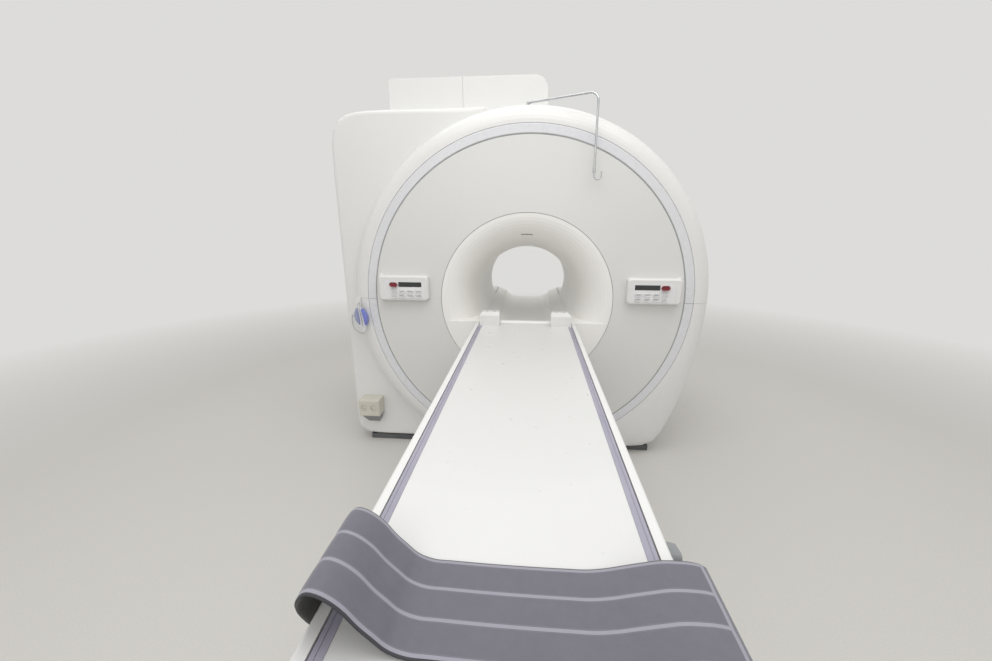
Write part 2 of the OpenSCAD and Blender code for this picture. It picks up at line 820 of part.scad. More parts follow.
// Foot on the rim, with a bored post
module drip_foot() {
  z = iso_h + cover_r;
  color(steel) translate([arm_foot[0], arm_foot[1], z]) difference() {
    union() {
      translate([0, 0, seat]) cylinder(r = 22, h = 6 - seat);
      cylinder(r = 11, h = 13);
    }
    translate([0, 0, -1]) cylinder(r = rod_d / 2 - 1 + shaft_gap, h = 30);
    translate([arm_foot[0] * -1, -arm_foot[1], -z + iso_h]) rotate([-90, 0, 0])
      translate([0, 0, -half_len]) cylinder(r = cover_r + seat, h = 2 * half_len, $fn = 240);
  }
}

// Rod from the post over the rim, down in front of the panel
module drip_arm() {
  r = rod_d / 2;
  bend = 46;
  dx = arm_reach - arm_foot[0] - 10;
  dy = arm_front;
  run = sqrt(dx * dx + dy * dy);
  turn = atan2(dy, dx);
  color(steel) translate([arm_foot[0], arm_foot[1], arm_z]) rotate([0, 0, -turn]) {
    translate([0, 0, -19]) cylinder(r = r - 1, h = 19);
    translate([0, 0, -8 + seat]) cylinder(r = r + 2, h = 8 + r * 0.8);
    rotate([0, 90, 0]) cylinder(r = r, h = run - bend);
    translate([run - bend, 0, -bend]) rotate([90, 0, 0])
      rotate_extrude(angle = 90) translate([bend, 0]) circle(r);
    translate([run, 0, -arm_drop - bend]) cylinder(r = r, h = arm_drop);
    translate([run, 0, -arm_drop - bend - 18]) cylinder(r = r * 0.55, h = 18);
  }
}

// Swivel block and round-ended hook under the rod
module drip_hook() {
  r = rod_d / 2;
  hr = 20;
  dx = arm_reach - arm_foot[0] - 10;
  x = arm_foot[0] + dx;
  y = arm_foot[1] - arm_front;
  z = arm_z - arm_drop - 46 - seat;
  color(steel) translate([x, y, z]) {
    difference() {
      translate([0, 0, -26]) cylinder(r = r * 1.35, h = 26);
      translate([0, 0, -20]) cylinder(r = r * 0.55 + shaft_gap, h = 30);
    }
    translate([0, 0, -40]) cylinder(r = r * 0.6, h = 14);
    translate([hr, 0, -40]) rotate([90, 0, 0]) rotate([0, 0, 180])
      rotate_extrude(angle = 180) translate([hr, 0]) circle(r * 0.6);
    translate([2 * hr, 0, -40]) cylinder(r = r * 0.6, h = 19);
    translate([2 * hr, 0, -21]) sphere(r * 0.8);
  }
}

// Headset on its hook, in front of the rim's left side

peg_at = [-(cover_r - 41), -27];
cup_h = 120;
cup_w = 28;
cup_depth = 40;
cup_back = face_y - 1;
yoke_y = cup_back - cup_depth / 2;
yoke_t = 12;
arm_left = [peg_at + [-4, -5], peg_at + [13, -169]];
arm_right = [peg_at + [17, -21], peg_at + [45, -165]];

// Hook that stands on the rounded rim, with a peg and an upturned tip
module headset_hook() {
  out = cup_depth + 6;
  n = 12;
  color(white) difference() {
    translate([peg_at[0], face_y, iso_h + peg_at[1]]) {
      translate([-11, -4, -22]) cube([22, 34, 50]);
      rotate([90, 0, 0]) cylinder(r = 5, h = out);
      translate([0, -out + 5, 0]) cylinder(r = 5, h = 16);
    }
    about_bore(170, 190) polygon(concat(
      [for (i = [0:n]) let (f = 90 * i / n)
        [ring_r + 1 + (cover_r - ring_r - 1 + seat) * sin(f),
         face_y - seat + (rim_depth + seat) * (1 - cos(f))]],
      [[ring_r + 1, face_y + rim_depth]]));
  }
}

// Outline of a cushion with its flat side against one arm of the yoke
module cushion(arm, side) {
  r = cup_h * 0.62;
  c = sqrt(r * r - cup_h * cup_h / 4);
  d = arm[0] - arm[1];
  translate((arm[0] + arm[1]) / 2) rotate(atan2(d[1], d[0]) - 90)
    mirror([side, 0]) translate([seat, 0]) {
      intersection() {
        translate([-c + cup_w - (r - c), 0]) circle(r);
        translate([0, -cup_h / 2 + 6]) square([cup_w, cup_h - 12]);
      }
      for (z = [-1, 1]) translate([6, z * (cup_h / 2 - 9)]) circle(6);
    }
}

// Slim yoke over the peg, joined at the bottom in a dark knob
module headset_band() {
  color("#dfe3ea") along_bore(yoke_y - yoke_t / 2, yoke_y + yoke_t / 2) difference() {
    union() {
      translate(peg_at) circle(5 + seat + 4);
      polygon([arm_left[0], peg_at + [4, -5], peg_at + [21, -159], peg_at + [31, -159],
               peg_at + [9, -25], arm_right[0], arm_right[1], peg_at + [29, -175],
               arm_left[1]]);
    }
    translate(peg_at) circle(5 + seat);
  }
  color("#4a4a4e") translate([peg_at[0] + 27, yoke_y, iso_h + peg_at[1] - 191])
    cylinder(r = 9, h = 20);
}

// Cushions on both arms of the yoke
module ear_cups() {
  color("#5f6fb5") along_bore(cup_back - cup_depth, cup_back) {
    cushion(arm_right, 0);
    cushion(arm_left, 1);
  }
}

// Route of the headset's lead, from the knob to the wing, from the peg at the face
tube_r = 2.5;
tube_route = [
  [27, -21, -191], [25, -20, -199], [17, -14, -205], [5, -6, -207], [-9, 6, -209],
  [-23, 20, -210], [-37, 34, -209], [-51, 46, -207], [-65, 54, -201], [-77, 60, -189],
  [-85, 64, -173], [-89, 67, -157], [-91, 70, -141], [-91, 73, -125], [-91, 78, -113],
  [-91, 84, -108], [-91, 90, -107]
];

// Swept tube along a route that is given from the bore axis, with square ends
module headset_tube() {
  n = 8;
  pts = [for (p = tube_route) p + [peg_at[0], face_y, iso_h + peg_at[1]]];
  last = len(pts) - 1;
  ends = [[0, 0, -1], [0, 1, 0]];
  dirs = [for (i = [0:last])
    i == 0 ? ends[0] : i == last ? ends[1]
    : let (d = pts[i + 1] - pts[i - 1]) d / norm(d)];
  rings = [for (i = [0:last])
    let (side = cross(dirs[i], [0.9, 0.3, 0]), u = side / norm(side), v = cross(dirs[i], u))
    for (k = [0:n - 1]) pts[i] + tube_r * (u * cos(360 * k / n) + v * sin(360 * k / n))];
  faces = [for (i = [0:last - 1]) for (k = [0:n - 1]) let (l = (k + 1) % n)
    each [[i * n + k, i * n + l, (i + 1) * n + l], [i * n + k, (i + 1) * n + l, (i + 1) * n + k]]];
  color("#b9bbbf") polyhedron(rings, concat(faces,
    [[for (k = [n - 1:-1:0]) k], [for (k = [0:n - 1]) last * n + k]]));
}

// Supply outlet low on the wing

outlet_w = 150;
outlet_h = 122;
outlet_d = 96;
outlet_x = -(wing_x - 136);
outlet_z = skirt_gap + 250;

module outlet_box() {
  y = face_y + wing_set - seat;
  color("#c9c6bd") translate([outlet_x, y, outlet_z]) difference() {
    hull() {
      rotate([90, 0, 0]) linear_extrude(1) pill(outlet_w, outlet_h, 10, $fn = 32);
      translate([0, -outlet_d + 9, 0]) rotate([90, 0, 0]) linear_extrude(1)
        pill(outlet_w, outlet_h, 10, $fn = 32);
      translate([0, -outlet_d + 1, 0]) rotate([90, 0, 0]) linear_extrude(1)
        pill(outlet_w - 16, outlet_h - 16, 8, $fn = 32);
    }
    for (x = [-34, 34]) translate([x, -outlet_d + 6, 4]) rotate([90, 0, 0])
      cylinder(r = 24, h = 20);
  }
}

// Dark tapered boot under the outlet
module outlet_boot() {
  y = face_y + wing_set - seat;
  color("#6d6f6d") translate([outlet_x, y, outlet_z - outlet_h / 2]) hull() {
    translate([-62, -outlet_d + 16, -1.3]) cube([130, outlet_d - 18, 1]);
    translate([-30, -40, -62]) cube([78, 38, 1]);
  }
}

// Couch base and lifting column

module shroud(w, l, z0, z1) {
  translate([0, -column_y, z0]) difference() {
    translate([-w / 2, -l / 2, 0]) cube([w, l, z1 - z0]);
    translate([-w / 2 + shroud_wall, -l / 2 + shroud_wall, -1])
      cube([w - 2 * shroud_wall, l - 2 * shroud_wall, z1 - z0 + 2]);
  }
}

// Floor plate with the fixed column tube welded on
module couch_base() {
  w = shroud_w + 76;
  l = shroud_len + 130;
  color("#7d8084") translate([0, -column_y, 0]) difference() {
    union() {
      translate([-w / 2, -l / 2, 0]) cube([w, l, base_t]);
      cylinder(r = outer_r, h = outer_top);
    }
    translate([0, 0, base_t]) cylinder(r = stage_r + seat, h = outer_top);
    for (x = [-1, 1], y = [-1, 1])
      translate([x * (w / 2 - 19), y * (l / 2 - 32), -1]) cylinder(r = anchor_r, h = base_t + 2);
  }
}

module base_shroud() {
  color("#c8cacc") shroud(shroud_w - 4 * shroud_step, shroud_len - 4 * shroud_step,
                          base_t, outer_top);
}

// Hydraulic power pack beside the column
module pump_unit() {
  color("#9a9da1") translate([0, -column_y - outer_r - 105, base_t]) {
    translate([-85, -70, 0]) cube([170, 120, 90]);
    translate([-60, -10, 89]) cylinder(r = 38, h = 80);
    translate([35, -10, 89]) cylinder(r = 26, h = 45);
    translate([0, 49, 30]) rotate([-90, 0, 0]) cylinder(r = 7, h = 56 - seat);
  }
}

module middle_tube() {
  color(steel) translate([0, -column_y, stage_low]) difference() {
    cylinder(r = stage_r, h = stage_len);
    translate([0, 0, -1]) cylinder(r = ram_r + seat, h = stage_len + 2);
  }
}

// Middle shroud with a web that rests on the middle tube
module middle_shroud() {
  w = shroud_w - 2 * shroud_step;
  l = shroud_len - 2 * shroud_step;
  z1 = stage_low + stage_len;
  color("#d3d5d6") {
    shroud(w, l, stage_low, z1);
    translate([0, -column_y, z1]) difference() {
      translate([-w / 2, -l / 2, 0]) cube([w, l, 4]);
      translate([0, 0, -1]) cylinder(r = ram_r + 2 * seat, h = 6);
    }
  }
}

module upper_shroud() {
  color(white) shroud(shroud_w, shroud_len, ram_low, couch_low);
}

// Couch body

// Tray with end plates, roller bearings and the welded ram
module couch_chassis() {
  x1 = chassis_in + chassis_wall;
  h = couch_depth - 14;
  y0 = -(couch_foot - 8);
  len_y = couch_len - 16;
  color("#8a8d91") difference() {
    union() {
      translate([-x1, y0, couch_low]) cube([2 * x1, len_y, chassis_wall]);
      for (s = [0, 1]) mirror([s, 0, 0])
        translate([chassis_in, y0, couch_low]) cube([chassis_wall, len_y, h]);
      for (y = [y0, y0 + len_y - chassis_wall])
        translate([-x1, y, couch_low]) cube([2 * x1, chassis_wall, couch_depth - keel_depth - 5]);
      translate([0, -column_y, ram_low]) cylinder(r = ram_r, h = couch_low - ram_low + 1);
    }
    translate([0, -column_y, ram_low - 1])
      cylinder(r = ram_r - 8, h = couch_low - ram_low - 9);
    for (y = [drive_y, middle_y, foot_y]) translate([-x1 - 1, y, roller_z]) rotate([0, 90, 0])
      cylinder(r = axle_r + shaft_gap, h = 2 * x1 + 2);
  }
}

// Rim and skirt section of a side cover, from the couch's centre line, at rail level 0
module side_section() {
  x0 = top_half + 3.5;
  x1 = top_half + 3 + rim_w;
  r = 8;
  t = 4.5;
  low = couch_depth + 2;
  difference() {
    union() {
      translate([x0, -14]) square([x1 - x0 - r, 14]);
      translate([x1 - r, -r]) circle(r);
      polygon([[x0, -14], [x0, -r], [x1, -r], [x1, -150], [x1 - 8, -low], [x1 - 8 - t, -low],
               [x1 - t, -150], [x1 - t, -14]]);
    }
  }
}

module side_covers() {
  color(white) for (s = [0, 1]) mirror([s, 0, 0])
    translate([0, 0, -table_drop]) along_bore(-couch_foot, -couch_head - 3) side_section();
}

// White end cover at the foot of the couch
module foot_cover() {
  w = 2 * (top_half + 3 + rim_w);
  color(white) translate([0, -couch_foot - seat, table_z]) rotate([90, 0, 0])
    linear_extrude(14) difference() {
      union() {
        translate([0, -couch_depth / 2 - 1]) pill(w, couch_depth + 2, 16);
        translate([-w / 2 + 8, -couch_depth - 2]) square([w - 16, 30]);
      }
    }
}

// Roller with its axle
module roller(y) {
  color(steel) translate([0, y, roller_z]) rotate([0, 90, 0]) {
    cylinder(r = roller_r, h = roller_len, center = true);
    cylinder(r = axle_r, h = 2 * (chassis_in + chassis_wall - seat), center = true);
  }
}

module drive_roller() { roller(drive_y); }
module middle_roller() { roller(middle_y); }
module foot_roller() { roller(foot_y); }

// Hollow-shaft gear motor around the drive roller's axle
module drive_motor() {
  x = -chassis_in + 36;
  floor_z = couch_low + chassis_wall;
  color("#6f7377") translate([x, drive_y, 0]) {
    difference() {
      union() {
        translate([0, -38, floor_z]) cube([54, 76, roller_z - floor_z]);
        translate([0, 0, roller_z]) rotate([0, 90, 0]) cylinder(r = 34, h = 54);
      }
      translate([-1, 0, roller_z]) rotate([0, 90, 0]) cylinder(r = axle_r + shaft_gap, h = 56);
    }
    translate([27, -37, floor_z + 30]) rotate([90, 0, 0]) cylinder(r = 27, h = 130);
    translate([27, -160, floor_z + 30]) rotate([90, 0, 0]) cylinder(r = 30, h = 22);
    translate([5, -110, floor_z]) cube([44, 20, 12]);
  }
}

lever_at = [top_half + 3 + rim_w + seat, -2512, table_z - 52];

// Grey release handle on the right-hand skirt
module release_lever() {
  color("#8e9092") translate(lever_at) {
    rotate([0, 90, 0]) cylinder(r = 17, h = 16);
    hull() {
      translate([8, 0, -9]) cube([8, 10, 18]);
      translate([8, 52, -8]) cube([12, 8, 16]);
    }
    hull() {
      translate([10, 54, 0]) rotate([0, 90, 0]) cylinder(r = 13, h = 4, $fn = 32);
      translate([34, 54, 0]) rotate([0, 90, 0]) cylinder(r = 10, h = 4, $fn = 32);
      translate([12, 82, 0]) rotate([0, 90, 0]) cylinder(r = 9, h = 4, $fn = 32);
      translate([32, 80, 0]) rotate([0, 90, 0]) cylinder(r = 7, h = 4, $fn = 32);
    }
  }
}

// Moving couch top

// Height of the hollow upper face at x, above the bore axis
function hollow(x) = -(table_drop + 1) - top_dip * (1 - pow(x / hollow_x, 2));

// Board with a hollow face, and the keel bonded under it
module couch_top() {
  keel = under_both(0, 0);
  n = len(keel);
  color(white) {
    along_bore(-couch_head - board_len, -couch_head) polygon(concat(
      [keel[0], keel[1], keel[n - 2], keel[n - 1]],
      [[-top_half, -board_edge_top], [-hollow_x, -board_edge_top]],
      [for (x = steps(-hollow_x, hollow_x, 12)) [x, hollow(x)]],
      [[hollow_x, -board_edge_top], [top_half, -board_edge_top]]));
    along_bore(-couch_head - board_len, -couch_head) polygon(concat(
      [[shoulder_x - seat, -shoulder_z - seat]], [for (i = [2:n - 3]) keel[i]],
      [[-shoulder_x + seat, -shoulder_z - seat]]));
  }
}

// Accessory rails along both edges of the top
module rail_strips() {
  x0 = strip_in;
  z0 = -table_drop - strip_t;
  color("#a8a6b0") for (s = [0, 1]) mirror([s, 0, 0])
    along_bore(-couch_head - board_len, -strip_head) polygon([
      [x0, z0], [top_half, z0], [top_half, z0 + strip_t - 0.6],
      [x0 + 14, z0 + strip_t - 0.6], [x0 + 14, z0 + strip_t - 1.8],
      [x0 + 12, z0 + strip_t - 1.8], [x0 + 12, z0 + strip_t], [x0, z0 + strip_t]]);
}

// Face that a block needs to stand on the hollow top between x0 and x1
function on_top(x0, x1) = [for (x = steps(x0, x1, 6)) [x, hollow(x) + seat]];

// Coil connector blocks on the head end
module coil_sockets() {
  y1 = -couch_head - 1;
  y0 = y1 - socket_depth;
  x1 = top_half - 3;
  top = -table_drop + socket_h;
  color("#f0f0ee") for (s = [0, 1]) mirror([s, 0, 0]) difference() {
    intersection() {
      along_bore(y0, y1) polygon(concat(
        on_top(socket_in, hollow_x),
        [[hollow_x + 0.1, -board_edge_top + seat], [x1, -board_edge_top + seat],
         [x1, top - 16], [x1 - 16, top], [socket_in + 9, top], [socket_in, top - 9]]));
      translate([0, 0, iso_h]) rotate([90, 0, 90]) linear_extrude(400) polygon([
        [y1, -200], [y1, top], [y0 + 20, top], [y0 + 6, top - 7], [y0, top - 20], [y0, -200]]);
    }
    for (x = [socket_in + 34, socket_in + 80])
      translate([x, y1 - 24, iso_h + top - 12]) cylinder(r = 11, h = 20);
  }
}

// White bar between the blocks
module head_bar() {
  y1 = -couch_head - 1;
  x1 = socket_in - seat;
  top = -table_drop + 14;
  color("#f0f0ee") intersection() {
    along_bore(y1 - 30, y1) polygon(concat(on_top(-x1, x1), [[x1, top], [-x1, top]]));
    translate([-x1, 0, iso_h]) rotate([90, 0, 90]) linear_extrude(2 * x1) polygon([
      [y1, -200], [y1, top - 4], [y1 - 4, top], [y1 - 20, top], [y1 - 30, top - 10],
      [y1 - 30, -200]]);
  }
}

// Wide strap across the couch, over the left rim and down its side

// Middle line of the strap where it leaves the couch top, [x, height above the bore
// axis]: first the right-hand end, then the arch over the left rim
strap_right = [
  [348, -111], [338, -105], [322, -101], [300, -100], [268, -102], [240, -109], [205, -119],
  [174, -128]
];
strap_left = [
  [-169, -123], [-190, -103], [-210, -82], [-229, -57], [-248, -40], [-265, -31], [-278, -29],
  [-288, -35], [-298, -51], [-309, -72], [-318, -93], [-324, -116], [-327, -145], [-327, -180],
  [-325, -215]
];
strap_line = concat(strap_right,
  [for (x = [140:-35:-140]) [x, hollow(x) + seat + strap_t / 2]], strap_left);

module body_strap() {
  n = len(strap_line) - 1;
  side = [for (i = [0:n])
    let (d = strap_line[min(i + 1, n)] - strap_line[max(i - 1, 0)]) [-d[1], d[0]] / norm(d)];
  y0 = -strap_y - strap_w / 2;
  color("#6e6c78") difference() {
    along_bore(y0, y0 + strap_w) polygon(concat(
      [for (i = [0:n]) strap_line[i] + side[i] * strap_t / 2],
      [for (i = [n:-1:0]) strap_line[i] - side[i] * strap_t / 2]));
    translate([-400, y0, iso_h]) rotate([90, 0, 90]) linear_extrude(110)
      polygon([[-1, -45], [-1, -300], [120, -300], [75, -190], [28, -90]]);
  }
}

saddles();
plinth();
floor_duct();
vacuum_vessel();
cold_head();
gradient_coil();
rf_coil();
bore_liner();
bore_bridge();
cover_frames();
front_panel();
panel_seal();
front_funnel();
rear_funnel();
ring_halves();
rim_upper();
rim_lower();
wing_cover();
side_skin_left();
side_skin_right();
top_skin();
rear_cover();
top_cover_left();
top_cover_right();
control_left();
control_right();
displays();
keypads();
stop_button_left();
stop_button_right();
alignment_window();
bore_camera();
drip_foot();
drip_arm();
drip_hook();
headset_hook();
headset_band();
ear_cups();
headset_tube();
outlet_box();
outlet_boot();
couch_base();
base_shroud();
pump_unit();
middle_shroud();
middle_tube();
upper_shroud();
couch_chassis();
side_covers();
foot_cover();
drive_roller();
middle_roller();
foot_roller();
drive_motor();
release_lever();
couch_top();
rail_strips();
coil_sockets();
head_bar();
body_strap();
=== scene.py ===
import math
import bmesh
import bpy
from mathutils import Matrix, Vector


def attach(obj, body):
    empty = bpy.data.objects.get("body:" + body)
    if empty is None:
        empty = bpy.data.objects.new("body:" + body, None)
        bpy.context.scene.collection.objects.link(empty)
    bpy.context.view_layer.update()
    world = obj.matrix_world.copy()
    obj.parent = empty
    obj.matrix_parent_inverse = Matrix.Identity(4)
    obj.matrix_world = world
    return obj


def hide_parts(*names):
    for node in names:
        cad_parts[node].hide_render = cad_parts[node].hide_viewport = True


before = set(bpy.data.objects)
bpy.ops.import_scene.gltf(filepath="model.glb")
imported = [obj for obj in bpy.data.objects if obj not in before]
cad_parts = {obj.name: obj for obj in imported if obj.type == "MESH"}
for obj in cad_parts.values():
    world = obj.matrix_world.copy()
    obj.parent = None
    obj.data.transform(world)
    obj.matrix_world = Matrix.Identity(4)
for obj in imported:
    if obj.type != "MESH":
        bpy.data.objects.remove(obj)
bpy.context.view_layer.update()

isoHeight = 1.070  # the bore's axis above the floor
print("frame loaded")


def deselectAll():
    if bpy.context.object and bpy.context.object.mode != "OBJECT":
        bpy.ops.object.mode_set(mode="OBJECT")
    bpy.ops.object.select_all(action="DESELECT")


def pick(pieces):
    deselectAll()
    for piece in pieces:
        piece.select_set(True)
    bpy.context.view_layer.objects.active = pieces[0]


def joinAs(name, pieces):
    pick(pieces)
    bpy.ops.object.join()
    pieces[0].name = name
    return pieces[0]


def newObject(name, data):
    piece = bpy.data.objects.new(name, data)
    bpy.context.scene.collection.objects.link(piece)
    return piece


def copyAt(model, place):
    piece = newObject(model.name, model.data.copy())  # each copy has its own mesh
    piece.location = place
    return piece


def placeInMesh():
    bpy.ops.object.transform_apply(location=True, rotation=True, scale=True)


# node helpers: a value is a number, a colour or another node's output


def rgb(r, g, b):
    return (r, g, b, 1)


def feed(tree, socket, value):
    if isinstance(value, bpy.types.NodeSocket):
        tree.links.new(value, socket)
    else:
        socket.default_value = value


def colourMix(tree, factor, first, second):
    node = tree.nodes.new("ShaderNodeMix")
    node.data_type = "RGBA"
    for socket, value in ((0, factor), (6, first), (7, second)):  # the colour sockets of a Mix node
        feed(tree, node.inputs[socket], value)
    return node.outputs[2]


def mathNode(tree, operation, *values):
    node = tree.nodes.new("ShaderNodeMath")
    node.operation = operation
    for socket, value in zip(node.inputs, values):
        feed(tree, socket, value)
    return node.outputs[0]


def most(tree, values):
    result = values[0]
    for value in values[1:]:
        result = mathNode(tree, "MAXIMUM", result, value)
    return result


def mapRange(tree, value, low, high, toLow=0.0, toHigh=1.0):
    node = tree.nodes.new("ShaderNodeMapRange")
    for label, number in (("Value", value), ("From Min", low), ("From Max", high),
                          ("To Min", toLow), ("To Max", toHigh)):
        feed(tree, node.inputs[label], number)
    return node.outputs["Result"]


def noiseAt(tree, vector, scale, detail, rough=0.55):
    node = tree.nodes.new("ShaderNodeTexNoise")
    for label, value in (("Vector", vector), ("Scale", scale), ("Detail", detail), ("Roughness", rough)):
        feed(tree, node.inputs[label], value)
    return node.outputs["Fac"]


def bumpOf(tree, height, strength, distance):
    node = tree.nodes.new("ShaderNodeBump")
    for label, value in (("Height", height), ("Strength", strength), ("Distance", distance)):
        feed(tree, node.inputs[label], value)
    return node.outputs[0]


def shaderMix(tree, factor, first, second):
    node = tree.nodes.new("ShaderNodeMixShader")
    for socket, value in zip(node.inputs, (factor, first, second)):
        feed(tree, socket, value)
    return node.outputs[0]


def directRays(tree):  # the rays that show the background: straight, through glass and off a gloss
    path = tree.nodes.new("ShaderNodeLightPath")
    return most(tree, [path.outputs[f"Is {kind} Ray"] for kind in ("Camera", "Transmission", "Glossy")])


deselectAll()

# camera at the photograph's place

shot = dict(place=(0.0281, -3.1477, 1.5496), pitch=74.62, turn=4.98, lens=14.43, sensor=36, clip=(0.02, 60))

bpy.ops.object.camera_add(location=shot["place"],
                          rotation=(math.radians(shot["pitch"]), 0, math.radians(shot["turn"])))
camera = bpy.context.object
camera.data.lens = shot["lens"]
camera.data.sensor_width = shot["sensor"]
camera.data.clip_start, camera.data.clip_end = shot["clip"]
bpy.context.scene.camera = camera

# light: an even pale surround, two soft panels overhead and one behind the camera

softPanels = dict(
    ceilingNear=dict(place=(0.2, -2.2, 3.9), aim=(0, -1.6, 0.8), size=(3.4, 2.2), power=47),
    ceilingFar=dict(place=(-0.4, 0.9, 4.0), aim=(0, 0.6, 1.0), size=(3.4, 2.0), power=26),
    behindCamera=dict(place=(-0.6, -4.9, 2.7), aim=(0, -0.7, 1.1), size=(3.0, 1.6), power=17))
surround = dict(light=(1.0, 0.99, 0.975), strength=0.69, seen=(0.72, 0.715, 0.70))

for name, panel in softPanels.items():
    bpy.ops.object.light_add(type="AREA", location=panel["place"])
    lamp = bpy.context.object
    lamp.name = name
    lamp.data.shape = "RECTANGLE"
    lamp.data.size, lamp.data.size_y = panel["size"]
    lamp.data.energy = panel["power"]
    facing = Vector(panel["aim"]) - Vector(panel["place"])
    lamp.rotation_euler = facing.to_track_quat("-Z", "Y").to_euler()

world = bpy.data.worlds.new("paleRoom")
bpy.context.scene.world = world
world.use_nodes = True
tree = world.node_tree
tree.nodes.clear()
lit, seen = tree.nodes.new("ShaderNodeBackground"), tree.nodes.new("ShaderNodeBackground")
lit.inputs["Color"].default_value = rgb(*surround["light"])
lit.inputs["Strength"].default_value = surround["strength"]
seen.inputs["Color"].default_value = rgb(*surround["seen"])
roomOutput = tree.nodes.new("ShaderNodeOutputWorld")
tree.links.new(shaderMix(tree, directRays(tree), lit.outputs[0], seen.outputs[0]), roomOutput.inputs[0])
bpy.context.scene.view_settings.view_transform = "Standard"
print("camera and light")

# shader groups


def newGroup(name, inputs, outputs):
    group = bpy.data.node_groups.new(name, "ShaderNodeTree")
    for label, kind, value in inputs:
        socket = group.interface.new_socket(name=label, in_out="INPUT", socket_type="NodeSocket" + kind)
        socket.default_value = value
    for label, kind in outputs:
        group.interface.new_socket(name=label, in_out="OUTPUT", socket_type="NodeSocket" + kind)
    return group, group.nodes.new("NodeGroupInput").outputs, group.nodes.new("NodeGroupOutput").inputs


# moulded or painted skin: slow shade drift, handling marks in the gloss, fine orange peel
skinLook = dict(driftDetail=4.0, drift=(0.35, 0.68), smearScale=14.0, smearDetail=5.0, smearRough=0.65,
                smear=(0.3, 0.75), peelDetail=2.0, bump=0.0004)
skinGroup, given, made = newGroup(
    "mouldedSkin",
    [("Vector", "Vector", (0, 0, 0)), ("Light", "Color", (1, 1, 1, 1)), ("Shade", "Color", (0.8, 0.8, 0.8, 1)),
     ("Drift Scale", "Float", 3.0), ("Gloss Low", "Float", 0.25), ("Gloss High", "Float", 0.4),
     ("Peel Scale", "Float", 900.0), ("Peel Depth", "Float", 0.1)],
    [("Colour", "Color"), ("Roughness", "Float"), ("Normal", "Vector")])
drift = noiseAt(skinGroup, given["Vector"], given["Drift Scale"], skinLook["driftDetail"])
smear = noiseAt(skinGroup, given["Vector"], skinLook["smearScale"], skinLook["smearDetail"], skinLook["smearRough"])
peel = noiseAt(skinGroup, given["Vector"], given["Peel Scale"], skinLook["peelDetail"])
feed(skinGroup, made["Colour"],
     colourMix(skinGroup, mapRange(skinGroup, drift, *skinLook["drift"]), given["Light"], given["Shade"]))
feed(skinGroup, made["Roughness"],
     mapRange(skinGroup, smear, *skinLook["smear"], given["Gloss Low"], given["Gloss High"]))
feed(skinGroup, made["Normal"], bumpOf(skinGroup, peel, given["Peel Depth"], skinLook["bump"]))

# two-way weave on a piece's own UV in metres
weaveLook = dict(slubScale=55.0, slubDetail=4.0, threadShare=0.6, slubShare=0.6, bump=0.0006)
weaveGroup, given, made = newGroup(
    "crossWeave",
    [("Vector", "Vector", (0, 0, 0)), ("Threads", "Float", 700.0), ("Thread", "Color", (0.5, 0.5, 0.5, 1)),
     ("Gap", "Color", (0.3, 0.3, 0.3, 1)), ("Depth", "Float", 0.5)],
    [("Colour", "Color"), ("Normal", "Vector")])
parts = weaveGroup.nodes.new("ShaderNodeSeparateXYZ")
feed(weaveGroup, parts.inputs[0], given["Vector"])
across, along = (mathNode(weaveGroup, "SINE", mathNode(weaveGroup, "MULTIPLY", parts.outputs[axis], given["Threads"]))
                 for axis in ("X", "Y"))
threads = mapRange(weaveGroup, mathNode(weaveGroup, "MULTIPLY", across, along), -1.0, 1.0)
slub = noiseAt(weaveGroup, given["Vector"], weaveLook["slubScale"], weaveLook["slubDetail"])
lifted = mathNode(weaveGroup, "ADD", mathNode(weaveGroup, "MULTIPLY", threads, weaveLook["threadShare"]),
                  mathNode(weaveGroup, "MULTIPLY", slub, weaveLook["slubShare"]))
feed(weaveGroup, made["Colour"], colourMix(weaveGroup, lifted, given["Gap"], given["Thread"]))
feed(weaveGroup, made["Normal"], bumpOf(weaveGroup, lifted, given["Depth"], weaveLook["bump"]))


def placed(tree, group, values):
    node = tree.nodes.new("ShaderNodeGroup")
    node.node_tree = group
    for label, value in values.items():
        feed(tree, node.inputs[label], value)
    return node


def newMaterial(name):
    material = bpy.data.materials.new(name)
    material.use_nodes = True
    tree = material.node_tree
    return material, tree, tree.nodes["Principled BSDF"]


def skinMaterial(name, light, shade, gloss, drift, peel=(900.0, 0.1), metal=0.0, coat=0.0, sheen=0.0):
    material, tree, shader = newMaterial(name)
    where = tree.nodes.new("ShaderNodeTexCoord")
    skin = placed(tree, skinGroup, {"Vector": where.outputs["Object"], "Light": rgb(*light), "Shade": rgb(*shade),
                                    "Drift Scale": drift, "Gloss Low": gloss[0], "Gloss High": gloss[1],
                                    "Peel Scale": peel[0], "Peel Depth": peel[1]})
    for result, socket in (("Colour", "Base Color"), ("Roughness", "Roughness"), ("Normal", "Normal")):
        tree.links.new(skin.outputs[result], shader.inputs[socket])
    shader.inputs["Metallic"].default_value = metal
    shader.inputs["Coat Weight"].default_value = coat
    shader.inputs["Sheen Weight"].default_value = sheen
    return material


